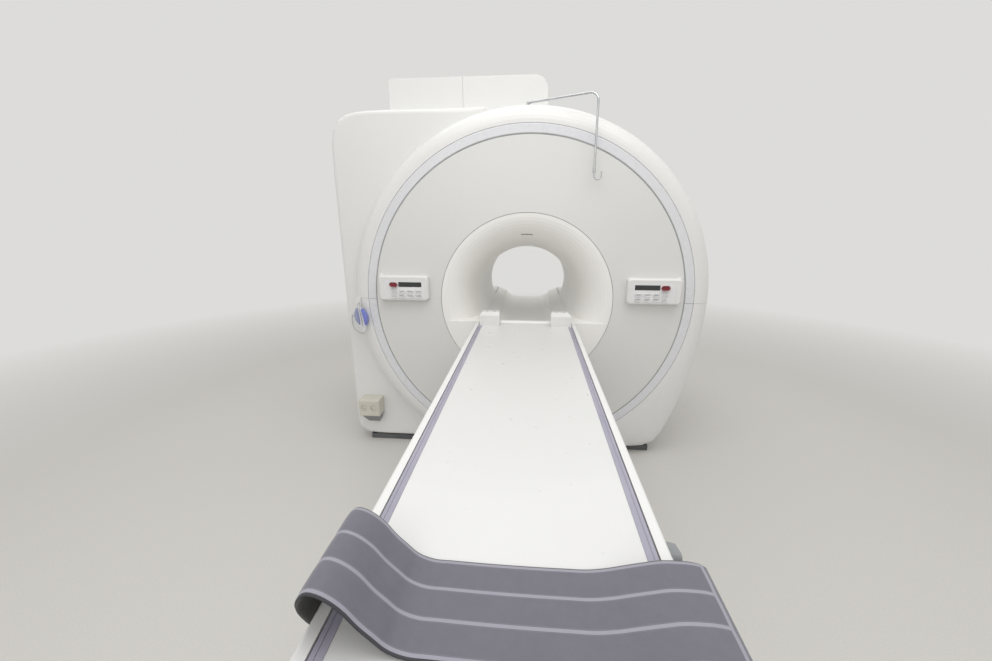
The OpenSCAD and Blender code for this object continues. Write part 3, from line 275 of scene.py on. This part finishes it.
# each finish: its light and shade tones, its range of roughness, the scale of its drift,
# the scale and depth of its peel, and the CAD nodes that wear it
finishLooks = dict(
    coverWhite=dict(light=(0.785, 0.785, 0.772), shade=(0.768, 0.769, 0.758), gloss=(0.29, 0.34), drift=1.4),
    panelWhite=dict(light=(0.725, 0.725, 0.705), shade=(0.708, 0.708, 0.69), gloss=(0.33, 0.39), drift=1.4),
    ringPale=dict(light=(0.735, 0.742, 0.768), shade=(0.715, 0.722, 0.75), gloss=(0.25, 0.31), drift=1.6),
    sealDark=dict(light=(0.37, 0.38, 0.375), shade=(0.31, 0.32, 0.315), gloss=(0.5, 0.7), drift=9.0),
    funnelWhite=dict(light=(0.885, 0.872, 0.845), shade=(0.872, 0.858, 0.828), gloss=(0.3, 0.37), drift=1.8),
    primerGrey=dict(light=(0.40, 0.42, 0.44), shade=(0.33, 0.345, 0.365), gloss=(0.4, 0.6), drift=5.0,
                    peel=(500.0, 0.25)),
    baseDark=dict(light=(0.115, 0.118, 0.122), shade=(0.085, 0.088, 0.092), gloss=(0.45, 0.65), drift=6.0,
                  peel=(420.0, 0.35)),
    bareSteel=dict(light=(0.60, 0.61, 0.62), shade=(0.50, 0.51, 0.525), gloss=(0.2, 0.36), drift=22.0,
                   peel=(1400.0, 0.12), metal=1.0),
    coilResin=dict(light=(0.46, 0.30, 0.12), shade=(0.36, 0.225, 0.085), gloss=(0.35, 0.55), drift=7.0,
                   peel=(300.0, 0.3)),
    keyWhite=dict(light=(0.80, 0.80, 0.80), shade=(0.76, 0.76, 0.765), gloss=(0.4, 0.55), drift=9.0),
    displayBlack=dict(light=(0.012, 0.013, 0.014), shade=(0.02, 0.021, 0.023), gloss=(0.08, 0.16), drift=12.0,
                      peel=(900.0, 0.02), coat=0.5),
    stopRed=dict(light=(0.23, 0.013, 0.03), shade=(0.18, 0.010, 0.024), gloss=(0.2, 0.32), drift=30.0),
    windowGrey=dict(light=(0.30, 0.31, 0.30), shade=(0.24, 0.25, 0.245), gloss=(0.12, 0.22), drift=30.0),
    topWhite=dict(light=(0.70, 0.70, 0.692), shade=(0.69, 0.69, 0.683), gloss=(0.27, 0.33), drift=1.2,
                  peel=(700.0, 0.08), coat=0.2),
    railGrey=dict(light=(0.37, 0.355, 0.43), shade=(0.33, 0.318, 0.39), gloss=(0.34, 0.5), drift=6.0),
    outletBeige=dict(light=(0.64, 0.62, 0.54), shade=(0.60, 0.58, 0.505), gloss=(0.34, 0.5), drift=9.0),
    leverGrey=dict(light=(0.27, 0.28, 0.29), shade=(0.22, 0.23, 0.24), gloss=(0.38, 0.55), drift=16.0),
    leadGrey=dict(light=(0.42, 0.43, 0.45), shade=(0.35, 0.36, 0.38), gloss=(0.35, 0.5), drift=30.0),
    cushionBlue=dict(light=(0.20, 0.23, 0.62), shade=(0.165, 0.19, 0.54), gloss=(0.42, 0.6), drift=24.0,
                     peel=(650.0, 0.5), sheen=0.25))
wornBy = dict(
    coverWhite=["rim_upper", "rim_lower", "wing_cover", "side_skin_left", "side_skin_right", "top_skin",
                "rear_cover", "top_cover_left", "top_cover_right", "control_left", "control_right",
                "bore_camera", "headset_hook", "base_shroud", "middle_shroud", "upper_shroud", "side_covers",
                "foot_cover", "coil_sockets", "head_bar"],
    panelWhite=["front_panel"],
    sealDark=["panel_seal"],
    funnelWhite=["front_funnel", "rear_funnel", "bore_liner", "bore_bridge"],
    primerGrey=["saddles", "floor_duct", "vacuum_vessel", "cold_head", "cover_frames", "pump_unit",
                "couch_chassis", "drive_motor"],
    baseDark=["plinth", "couch_base"],
    bareSteel=["drip_foot", "drip_arm", "drip_hook", "middle_tube", "drive_roller", "middle_roller",
               "foot_roller"],
    coilResin=["gradient_coil", "rf_coil"],
    keyWhite=["keypads"],
    displayBlack=["displays"],
    stopRed=["stop_button_left", "stop_button_right"],
    windowGrey=["alignment_window"],
    topWhite=["couch_top"],
    railGrey=["rail_strips"],
    outletBeige=["outlet_box"],
    leverGrey=["outlet_boot", "release_lever"],
    ringPale=["ring_halves", "headset_band"],
    cushionBlue=["ear_cups"],
    leadGrey=["headset_tube"])

finishes = {name: skinMaterial(name, **look) for name, look in finishLooks.items()}
print("materials")

for finish, nodes in wornBy.items():
    for node in nodes:
        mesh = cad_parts[node].data
        mesh.materials.clear()
        mesh.materials.append(finishes[finish])
print("frame dressed")

# body strap: three quilted panels between light stripes, bound along its edges

strap = dict(width=0.180, middle=-2.642, thickness=0.0052, puff=0.0011, step=0.006, columns=44,
             lift=0.0033,                                # its middle above the hollow of the couch top
             hangsPast=-0.29,                            # the near edge draws in beyond this x
             stripe=0.006, stripesAt=(0.034, 0.345, 0.655, 0.966), edge=0.0035, border=0.014,
             quiltSink=0.018, edgeSink=0.012,            # how far from a stripe or an edge the puff is full
             edgeThin=0.35, edgeRound=0.004,             # how the thickness falls off at the edge
             threads=2600.0, thread=(0.150, 0.147, 0.182), gap=(0.100, 0.098, 0.122), depth=0.55,
             stitchOff=0.0014, stitchHalf=0.0004, dashes=1700.0, dashFrom=-0.2, stitchShow=0.7,
             wearScale=9.0, wearDetail=4.0, wearRange=(0.3, 0.75), wearShow=0.25,
             wornTone=(0.168, 0.164, 0.200), stripeTone=(0.300, 0.294, 0.345), stitchTone=(0.25, 0.246, 0.290),
             boundTone=(0.040, 0.040, 0.048), rough=0.62, sheen=0.3,
             backing=dict(light=(0.13, 0.13, 0.125), shade=(0.09, 0.09, 0.088), gloss=(0.7, 0.9), drift=30.0,
                          peel=(800.0, 0.5)),
             binding=dict(light=(0.045, 0.045, 0.052), shade=(0.03, 0.03, 0.036), gloss=(0.6, 0.8), drift=40.0,
                          peel=(900.0, 0.4)))
couchTop = dict(drop=0.131, dip=0.009, half=0.2577)      # its hollow, below the bore's axis
strapRight = [(0.348, -0.111), (0.338, -0.105), (0.322, -0.101), (0.300, -0.100), (0.268, -0.102),
              (0.240, -0.109), (0.205, -0.119), (0.174, -0.128)]
strapLeft = [(-0.169, -0.123), (-0.190, -0.103), (-0.210, -0.082), (-0.229, -0.057), (-0.248, -0.040),
             (-0.265, -0.031), (-0.278, -0.029), (-0.288, -0.035), (-0.298, -0.051), (-0.309, -0.072),
             (-0.318, -0.093), (-0.324, -0.116), (-0.327, -0.145), (-0.327, -0.180), (-0.325, -0.215)]
strapMiddleAt = range(140, -141, -35)                    # x in mm
strapTaper = [(-0.045, 0.0), (-0.090, 0.028),            # height, and how far the near edge draws in there
              (-0.190, 0.075), (-0.300, 0.120)]


def strapCloth(name):
    material, tree, shader = newMaterial(name)
    uv = tree.nodes.new("ShaderNodeUVMap")
    uv.uv_map = "strapMap"
    weave = placed(tree, weaveGroup, {"Vector": uv.outputs[0], "Threads": strap["threads"], "Depth": strap["depth"],
                                      "Thread": rgb(*strap["thread"]), "Gap": rgb(*strap["gap"])})
    place = tree.nodes.new("ShaderNodeSeparateXYZ")
    tree.links.new(uv.outputs[0], place.inputs[0])
    run, across = place.outputs["X"], place.outputs["Y"]
    offStripe = [mathNode(tree, "ABSOLUTE", mathNode(tree, "SUBTRACT", across, centre * strap["width"]))
                 for centre in strap["stripesAt"]]
    sewnAt = strap["stripe"] / 2 + strap["stitchOff"]
    stripe = most(tree, [mathNode(tree, "LESS_THAN", off, strap["stripe"] / 2) for off in offStripe])
    stitch = most(tree, [mathNode(tree, "COMPARE", off, sewnAt, strap["stitchHalf"]) for off in offStripe])
    inside = mathNode(tree, "GREATER_THAN", run, strap["border"])
    endStripe = mathNode(tree, "COMPARE", run, strap["border"], strap["stripe"] / 2)
    stripe = mathNode(tree, "MAXIMUM", mathNode(tree, "MULTIPLY", stripe, inside), endStripe)
    wave = mathNode(tree, "SINE", mathNode(tree, "MULTIPLY", run, strap["dashes"]))
    dashes = mathNode(tree, "GREATER_THAN", wave, strap["dashFrom"])
    stitch = mathNode(tree, "MULTIPLY", mathNode(tree, "MULTIPLY", stitch, dashes), inside)
    wear = mapRange(tree, noiseAt(tree, uv.outputs[0], strap["wearScale"], strap["wearDetail"]), *strap["wearRange"])
    gap = tree.nodes.new("ShaderNodeAttribute")
    gap.attribute_name = "edgeGap"
    bound = mathNode(tree, "LESS_THAN", gap.outputs["Fac"], strap["edge"])
    colour = weave.outputs["Colour"]
    for mask, tone in ((mathNode(tree, "MULTIPLY", wear, strap["wearShow"]), "wornTone"), (stripe, "stripeTone"),
                       (mathNode(tree, "MULTIPLY", stitch, strap["stitchShow"]), "stitchTone"),
                       (bound, "boundTone")):
        colour = colourMix(tree, mask, colour, rgb(*strap[tone]))
    tree.links.new(colour, shader.inputs["Base Color"])
    tree.links.new(weave.outputs["Normal"], shader.inputs["Normal"])
    shader.inputs["Roughness"].default_value = strap["rough"]
    shader.inputs["Sheen Weight"].default_value = strap["sheen"]
    return material


def hollowAt(x):
    return -couchTop["drop"] - couchTop["dip"] * (1 - (x / couchTop["half"]) ** 2)


def smoothLine(points, step):
    line = []
    for i in range(len(points) - 1):
        a, b, c, d = (Vector(points[max(0, min(len(points) - 1, i + k))]) for k in (-1, 0, 1, 2))
        count = max(1, round((c - b).length / step))
        for j in range(count):
            t = j / count
            line.append(0.5 * (2 * b + (c - a) * t + (2 * a - 5 * b + 4 * c - d) * t * t
                               + (3 * b - a - 3 * c + d) * t ** 3))
    return line + [Vector(points[-1])]


def between(pairs, value):
    if value >= pairs[0][0]:
        return pairs[0][1]
    for (a, fa), (b, fb) in zip(pairs, pairs[1:]):
        if value >= b:
            return fa + (fb - fa) * (a - value) / (a - b)
    return pairs[-1][1]


strapMiddle = [(x / 1000, hollowAt(x / 1000) + strap["lift"]) for x in strapMiddleAt]
line = smoothLine(strapRight + strapMiddle + strapLeft, strap["step"])
rows, columns = len(line), strap["columns"]
runs = [0.0]
for a, b in zip(line, line[1:]):
    runs.append(runs[-1] + (b - a).length)
farEdge = strap["middle"] + strap["width"] / 2
verts, uvs, gaps = [], [], []
for face in (1, -1):  # the top, then the underside
    for i, point in enumerate(line):
        d = line[min(i + 1, rows - 1)] - line[max(i - 1, 0)]
        side = Vector((d.y, -d.x)).normalized()
        drawIn = between(strapTaper, point.y) if point.x < strap["hangsPast"] else 0.0
        width = strap["width"] - drawIn
        for j in range(columns + 1):
            y = farEdge - width * j / columns
            across = farEdge - y
            nearest = min(abs(across - c * strap["width"]) for c in strap["stripesAt"])
            gap = min(across, width - across, runs[i], runs[-1] - runs[i])
            swell = 0.0
            if face > 0:
                swell = (strap["puff"] * min(1.0, nearest / strap["quiltSink"]) ** 0.5
                         * min(1.0, gap / strap["edgeSink"]))
            half = strap["thickness"] / 2 * min(1.0, strap["edgeThin"] + gap / strap["edgeRound"])
            out = side * (face * (half + swell))
            verts.append((point.x + out.x, y, isoHeight + point.y + out.y))
            uvs.append((runs[i], across))
            gaps.append(gap)
faces, kinds = [], []
sheetSize = rows * (columns + 1)
for kind, first in ((0, 0), (1, sheetSize)):
    for i in range(rows - 1):
        for j in range(columns):
            a = first + i * (columns + 1) + j
            quad = (a, a + 1, a + columns + 2, a + columns + 1)
            faces.append(quad[::-1] if kind else quad)
            kinds.append(kind)
rim = [(i, 0) for i in range(rows)] + [(rows - 1, j) for j in range(1, columns + 1)]
rim += [(i, columns) for i in range(rows - 2, -1, -1)] + [(0, j) for j in range(columns - 1, 0, -1)]
rimVerts = [i * (columns + 1) + j for i, j in rim]
for a, b in zip(rimVerts, rimVerts[1:] + rimVerts[:1]):
    faces.append((a, b, b + sheetSize, a + sheetSize))
    kinds.append(2)
strapMesh = bpy.data.meshes.new("bodyStrap")
strapMesh.from_pydata(verts, [], faces)
for material in (strapCloth("strapCloth"), skinMaterial("strapBacking", **strap["backing"]),
                 skinMaterial("strapBinding", **strap["binding"])):
    strapMesh.materials.append(material)
for polygon, kind in zip(strapMesh.polygons, kinds):
    polygon.material_index = kind
    polygon.use_smooth = True
layer = strapMesh.uv_layers.new(name="strapMap")
for loop in strapMesh.loops:
    layer.data[loop.index].uv = uvs[loop.vertex_index]
strapMesh.attributes.new("edgeGap", "FLOAT", "POINT").data.foreach_set("value", gaps)
bodyStrap = newObject("bodyStrap", strapMesh)
pick([bodyStrap])
bpy.ops.object.mode_set(mode="EDIT")
bpy.ops.mesh.select_all(action="SELECT")
bpy.ops.mesh.normals_make_consistent(inside=False)
deselectAll()
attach(bodyStrap, "couch_slide")
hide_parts("body_strap")
print("body strap")

# headset cushions: each CAD cushion remeshed, then swelled

cushionPad = dict(merge=0.00002, shrink=0.0012, voxel=0.004, soften=0.5, softenSteps=3, pressure=4.0, frames=20,
                  cap=0.0035, leftFinish=dict(light=(0.33, 0.36, 0.53), shade=(0.28, 0.305, 0.46),
                                              gloss=(0.42, 0.6), drift=24.0, peel=(650.0, 0.5)))


def cushionIslands(node):
    bm = bmesh.new()
    bm.from_mesh(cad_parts[node].data)
    bmesh.ops.remove_doubles(bm, verts=bm.verts, dist=cushionPad["merge"])
    islands, met = [], set()
    for first in bm.verts:
        if first in met:
            continue
        met.add(first)
        found = [first]
        for vert in found:  # the list grows while it is walked
            for other in (edge.other_vert(vert) for edge in vert.link_edges):
                if other not in met:
                    met.add(other)
                    found.append(other)
        number = {vert: i for i, vert in enumerate(found)}
        islands.append(([vert.co.copy() for vert in found],
                        [[number[vert] for vert in f.verts] for f in bm.faces if f.verts[0] in number]))
    bm.free()
    return sorted(islands, key=lambda island: sum(co.x for co in island[0]) / len(island[0]))


def swelledCushion(name, island, material):
    points, polygons = island
    mesh = bpy.data.meshes.new(name)
    mesh.from_pydata(points, [], polygons)
    piece = newObject(name, mesh)
    pick([piece])
    smaller = piece.modifiers.new("smaller", "DISPLACE")
    smaller.strength, smaller.mid_level = -cushionPad["shrink"], 0
    remesh = piece.modifiers.new("remesh", "REMESH")
    remesh.mode, remesh.voxel_size = "VOXEL", cushionPad["voxel"]
    soften = piece.modifiers.new("soften", "SMOOTH")
    soften.factor, soften.iterations = cushionPad["soften"], cushionPad["softenSteps"]
    for modifier in ("smaller", "remesh", "soften"):
        bpy.ops.object.modifier_apply(modifier=modifier)
    start = [v.co.copy() for v in piece.data.vertices]
    cloth = piece.modifiers.new("cloth", "CLOTH")
    cloth.settings.use_pressure = True
    cloth.settings.uniform_pressure_force = cushionPad["pressure"]
    cloth.settings.effector_weights.gravity = 0
    for number in range(1, cushionPad["frames"] + 1):
        bpy.context.scene.frame_set(number)
    swelled = piece.evaluated_get(bpy.context.evaluated_depsgraph_get())
    moved = [v.co.copy() for v in swelled.data.vertices]
    piece.modifiers.remove(cloth)
    for v, a, b in zip(piece.data.vertices, start, moved):
        step = b - a
        v.co = a + step * min(1.0, cushionPad["cap"] / max(step.length, 1e-9))
    bpy.context.scene.frame_set(1)
    finer = piece.modifiers.new("finer", "SUBSURF")
    finer.levels = finer.render_levels = 1
    bpy.ops.object.modifier_apply(modifier="finer")
    bpy.ops.object.shade_smooth()
    piece.data.materials.append(material)
    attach(piece, "gantry")
    return piece


islands = cushionIslands("ear_cups")
leftCushion = swelledCushion("earCushionLeft", islands[0],
                             skinMaterial("cushionGreyBlue", **cushionPad["leftFinish"]))
swelledCushion("earCushionRight", islands[-1], finishes["cushionBlue"])
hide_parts("ear_cups")
print("cushions", len(islands))

# headset lead, along the route of the CAD tube

lead = dict(diameter=0.005, rings=4, step=0.004)
peg = Vector((-1.077, -0.700, isoHeight - 0.027))
leadRoute = [(27, -21, -191), (25, -20, -199), (17, -14, -205), (5, -6, -207), (-9, 6, -209), (-23, 20, -210),
             (-37, 34, -209), (-51, 46, -207), (-65, 54, -201), (-77, 60, -189), (-85, 64, -173), (-89, 67, -157),
             (-91, 70, -141), (-91, 73, -125), (-91, 78, -113), (-91, 84, -108), (-91, 90, -107)]  # mm from the peg
leadLine = smoothLine([Vector((x / 1000, y / 1000, z / 1000)) + peg for x, y, z in leadRoute], lead["step"])
curve = bpy.data.curves.new("headsetLead", "CURVE")
curve.dimensions = "3D"
curve.bevel_depth, curve.bevel_resolution = lead["diameter"] / 2, lead["rings"]
curve.use_fill_caps = True
spline = curve.splines.new("POLY")
spline.points.add(len(leadLine) - 1)
for point, place in zip(spline.points, leadLine):
    point.co = (*place, 1)
curve.materials.append(finishes["leadGrey"])
headsetLead = newObject("headsetLead", curve)
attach(headsetLead, "gantry")
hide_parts("headset_tube")

# keys on the control panels: a wide and a narrow key, each modelled once and copied to its places

keys = dict(inner=0.602, face=-0.7596, bottom=isoHeight, rise=0.0011, corner=0.007, cornerSteps=5,
            lip=0.0007, lipLift=0.0003, mark=0.0022,
            wide=(0.040, 0.016), wideAt=((0.062, 0.057), (0.113, 0.057), (0.166, 0.057),
                                         (0.062, 0.029), (0.113, 0.029), (0.166, 0.029)),
            narrow=(0.034, 0.014), narrowAt=((0.214, 0.072), (0.214, 0.048), (0.214, 0.024)),
            markFinish=dict(light=(0.62, 0.62, 0.66), shade=(0.57, 0.57, 0.61), gloss=(0.4, 0.55), drift=40.0))
keyMark = skinMaterial("keyMark", **keys["markFinish"])
nearlyAlong = 0.9  # the least y of a normal that counts as facing along Y


def bevelledBlock(name, size, centre, corner, steps):
    deselectAll()
    bpy.ops.mesh.primitive_cube_add(size=1, location=centre, scale=size)
    piece = bpy.context.object
    piece.name = name
    placeInMesh()
    bpy.ops.object.mode_set(mode="EDIT")
    bpy.ops.mesh.select_mode(type="EDGE")
    bpy.ops.mesh.bevel(offset=corner, segments=steps, affect="EDGES")  # all twelve edges, the new block's selection
    return piece


def chooseFaces(piece, test):
    bpy.ops.object.mode_set(mode="OBJECT")
    mesh = piece.data
    chosen = [test(polygon.normal) for polygon in mesh.polygons]
    corners = {index for polygon, wanted in zip(mesh.polygons, chosen) if wanted for index in polygon.vertices}
    mesh.polygons.foreach_set("select", chosen)
    mesh.edges.foreach_set("select", [False] * len(mesh.edges))
    mesh.vertices.foreach_set("select", [index in corners for index in range(len(mesh.vertices))])
    bpy.ops.object.mode_set(mode="EDIT")
    bpy.ops.mesh.select_mode(type="FACE")


def keyModel(kind):
    wide, high = keys[kind]
    piece = bevelledBlock(kind + "Key", (wide, keys["rise"], high), (0, 0, 0), keys["corner"], keys["cornerSteps"])
    chooseFaces(piece, lambda normal: normal.y < -nearlyAlong)
    bpy.ops.mesh.inset(thickness=keys["lip"], depth=keys["lipLift"])
    bpy.ops.mesh.inset(thickness=high / 2 - keys["mark"], depth=0.0)
    bpy.ops.object.mode_set(mode="OBJECT")
    piece.data.materials.append(finishes["keyWhite"])
    piece.data.materials.append(keyMark)
    for polygon in piece.data.polygons:
        if polygon.select:
            polygon.material_index = 1
    return piece


def keyField(name, side):
    depth = keys["face"] - keys["rise"] / 2
    field = joinAs(name, [copyAt(model, (side * (keys["inner"] + x), depth, keys["bottom"] + z))
                          for kind, model in keyModels.items() for x, z in keys[kind + "At"]])
    placeInMesh()
    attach(field, "gantry")


keyModels = {kind: keyModel(kind) for kind in ("wide", "narrow")}
keyField("keysRight", 1)
keyField("keysLeft", -1)
for model in keyModels.values():
    bpy.data.objects.remove(model)
print("keys")

# collars round the stop buttons: a bevelled plate, opened in its middle

collar = dict(at=(0.214, 0.101), size=(0.0515, 0.0305), hole=(0.0478, 0.0268), rise=0.0016, corner=0.0151,
              cornerSteps=10, smoothUnder=35,
              finish=dict(light=(0.66, 0.50, 0.50), shade=(0.62, 0.46, 0.46), gloss=(0.35, 0.5), drift=40.0))
collarRed = skinMaterial("collarRed", **collar["finish"])


def stopCollar(name, side):
    x, z = collar["at"]
    wide, high = collar["size"]
    centre = (side * (keys["inner"] + x), keys["face"] - collar["rise"] / 2, keys["bottom"] + z)
    piece = bevelledBlock(name, (wide, collar["rise"], high), centre, collar["corner"], collar["cornerSteps"])
    chooseFaces(piece, lambda normal: abs(normal.y) > nearlyAlong)
    bpy.ops.mesh.inset(thickness=(high - collar["hole"][1]) / 2, use_individual=True)
    bpy.ops.mesh.bridge_edge_loops()
    bpy.ops.mesh.select_all(action="SELECT")
    bpy.ops.mesh.normals_make_consistent(inside=False)
    bpy.ops.object.mode_set(mode="OBJECT")
    piece.data.materials.append(collarRed)
    bpy.ops.object.shade_smooth_by_angle(angle=math.radians(collar["smoothUnder"]))
    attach(piece, "gantry")


stopCollar("stopCollarRight", 1)
stopCollar("stopCollarLeft", -1)
print("stop collars")

# thin grey ring in the seam between the funnel's surround and the front panel: painted shade, standing in for the
# dark of the gap

seamShade = dict(radius=0.5285, thickness=0.0011, face=-0.7165, steps=200, rings=10)

deselectAll()
bpy.ops.mesh.primitive_torus_add(location=(0, seamShade["face"], isoHeight), rotation=(math.radians(90), 0, 0),
                                 major_radius=seamShade["radius"], minor_radius=seamShade["thickness"],
                                 major_segments=seamShade["steps"], minor_segments=seamShade["rings"])
seamShadeRing = bpy.context.object
seamShadeRing.name = "seamShadeRing"
placeInMesh()
bpy.ops.object.shade_smooth()
# the seal grey on this ring is painted shade for the seam's gap
seamShadeRing.data.materials.append(finishes["sealDark"])
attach(seamShadeRing, "gantry")
print("seamShade")

# inserts with contact pins at the bottom of each socket: one modelled, then copied to its places

insertShape = dict(plateSides=48, pinSides=16, bevel=0.35, bevelSteps=2, smoothUnder=35)
coilInsert = dict(places=[(x, -0.762, isoHeight - 0.068) for x in (-0.235, -0.189, 0.189, 0.235)], tilt=0.0,
                  radius=0.0106, plate=0.0005, pins=6, pinAt=0.0058, pin=0.0008, reach=0.0055,
                  finish=dict(light=(0.055, 0.058, 0.066), shade=(0.04, 0.042, 0.05), gloss=(0.4, 0.6),
                              drift=40.0, peel=(900.0, 0.2)))
outletInsert = dict(places=[(x, -0.7004, 0.294) for x in (-1.108, -1.040)], tilt=90.0,
                    radius=0.0232, plate=0.0010, pins=3, pinAt=0.0105, pin=0.0022, reach=0.0032)


def plugInserts(name, insert, plateFinish, body):
    turn = (math.radians(insert["tilt"]), 0, 0)
    facing = Vector((0, -math.sin(turn[0]), math.cos(turn[0])))
    side = Vector((0, math.cos(turn[0]), math.sin(turn[0])))
    deselectAll()
    bpy.ops.mesh.primitive_cylinder_add(vertices=insertShape["plateSides"], radius=insert["radius"],
                                        depth=insert["plate"], rotation=turn,
                                        location=facing * insert["plate"] / 2)
    pieces = [bpy.context.object]
    pieces[0].data.materials.append(plateFinish)
    for number in range(insert["pins"]):
        angle = 2 * math.pi * number / insert["pins"] + math.pi / 2
        spot = Vector((math.cos(angle), 0, 0)) + side * math.sin(angle)
        bpy.ops.mesh.primitive_cylinder_add(vertices=insertShape["pinSides"], radius=insert["pin"],
                                            depth=insert["reach"], rotation=turn,
                                            location=spot * insert["pinAt"] + facing * insert["reach"] / 2)
        pieces.append(bpy.context.object)
        pieces[-1].data.materials.append(finishes["bareSteel"])
    model = joinAs(name + "Model", pieces)
    placeInMesh()
    edges = model.modifiers.new("edges", "BEVEL")
    edges.width, edges.segments = insert["plate"] * insertShape["bevel"], insertShape["bevelSteps"]
    bpy.ops.object.modifier_apply(modifier="edges")
    bpy.ops.object.shade_smooth_by_angle(angle=math.radians(insertShape["smoothUnder"]))
    inserts = joinAs(name, [copyAt(model, place) for place in insert["places"]])
    placeInMesh()
    bpy.data.objects.remove(model)
    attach(inserts, body)


plugInserts("coilInserts", coilInsert, skinMaterial("insertDark", **coilInsert["finish"]), "couch_slide")
plugInserts("outletInserts", outletInsert, finishes["outletBeige"], "gantry")
print("socket inserts")

# pale floor, which fades to the backdrop's tone away from the object

floorLook = dict(size=60, place=(0, -0.6, 0), light=(0.66, 0.645, 0.615), dark=(0.60, 0.585, 0.555),
                 speckScale=190.0, speckDetail=2.0, speckRange=(0.3, 0.7), rough=0.75,
                 far=(0.72, 0.715, 0.70), fadeFrom=3.2, fadeTo=6.5)

deselectAll()
bpy.ops.mesh.primitive_plane_add(size=floorLook["size"], location=floorLook["place"])
floorSheet = bpy.context.object
floorSheet.name = "floor"
material, tree, shader = newMaterial("floorPale")
shader.inputs["Roughness"].default_value = floorLook["rough"]
where = tree.nodes.new("ShaderNodeTexCoord")
speckNoise = noiseAt(tree, where.outputs["Object"], floorLook["speckScale"], floorLook["speckDetail"])
speck = mapRange(tree, speckNoise, *floorLook["speckRange"])
feed(tree, shader.inputs["Base Color"], colourMix(tree, speck, rgb(*floorLook["dark"]), rgb(*floorLook["light"])))
away = tree.nodes.new("ShaderNodeVectorMath")
away.operation = "LENGTH"
feed(tree, away.inputs[0], where.outputs["Object"])
fade = mapRange(tree, away.outputs["Value"], floorLook["fadeFrom"], floorLook["fadeTo"])
glow = tree.nodes.new("ShaderNodeEmission")
glow.inputs["Color"].default_value = rgb(*floorLook["far"])
faded = shaderMix(tree, mathNode(tree, "MULTIPLY", fade, directRays(tree)), shader.outputs[0], glow.outputs[0])
tree.links.new(faded, tree.nodes["Material Output"].inputs["Surface"])
floorSheet.data.materials.append(material)
deselectAll()
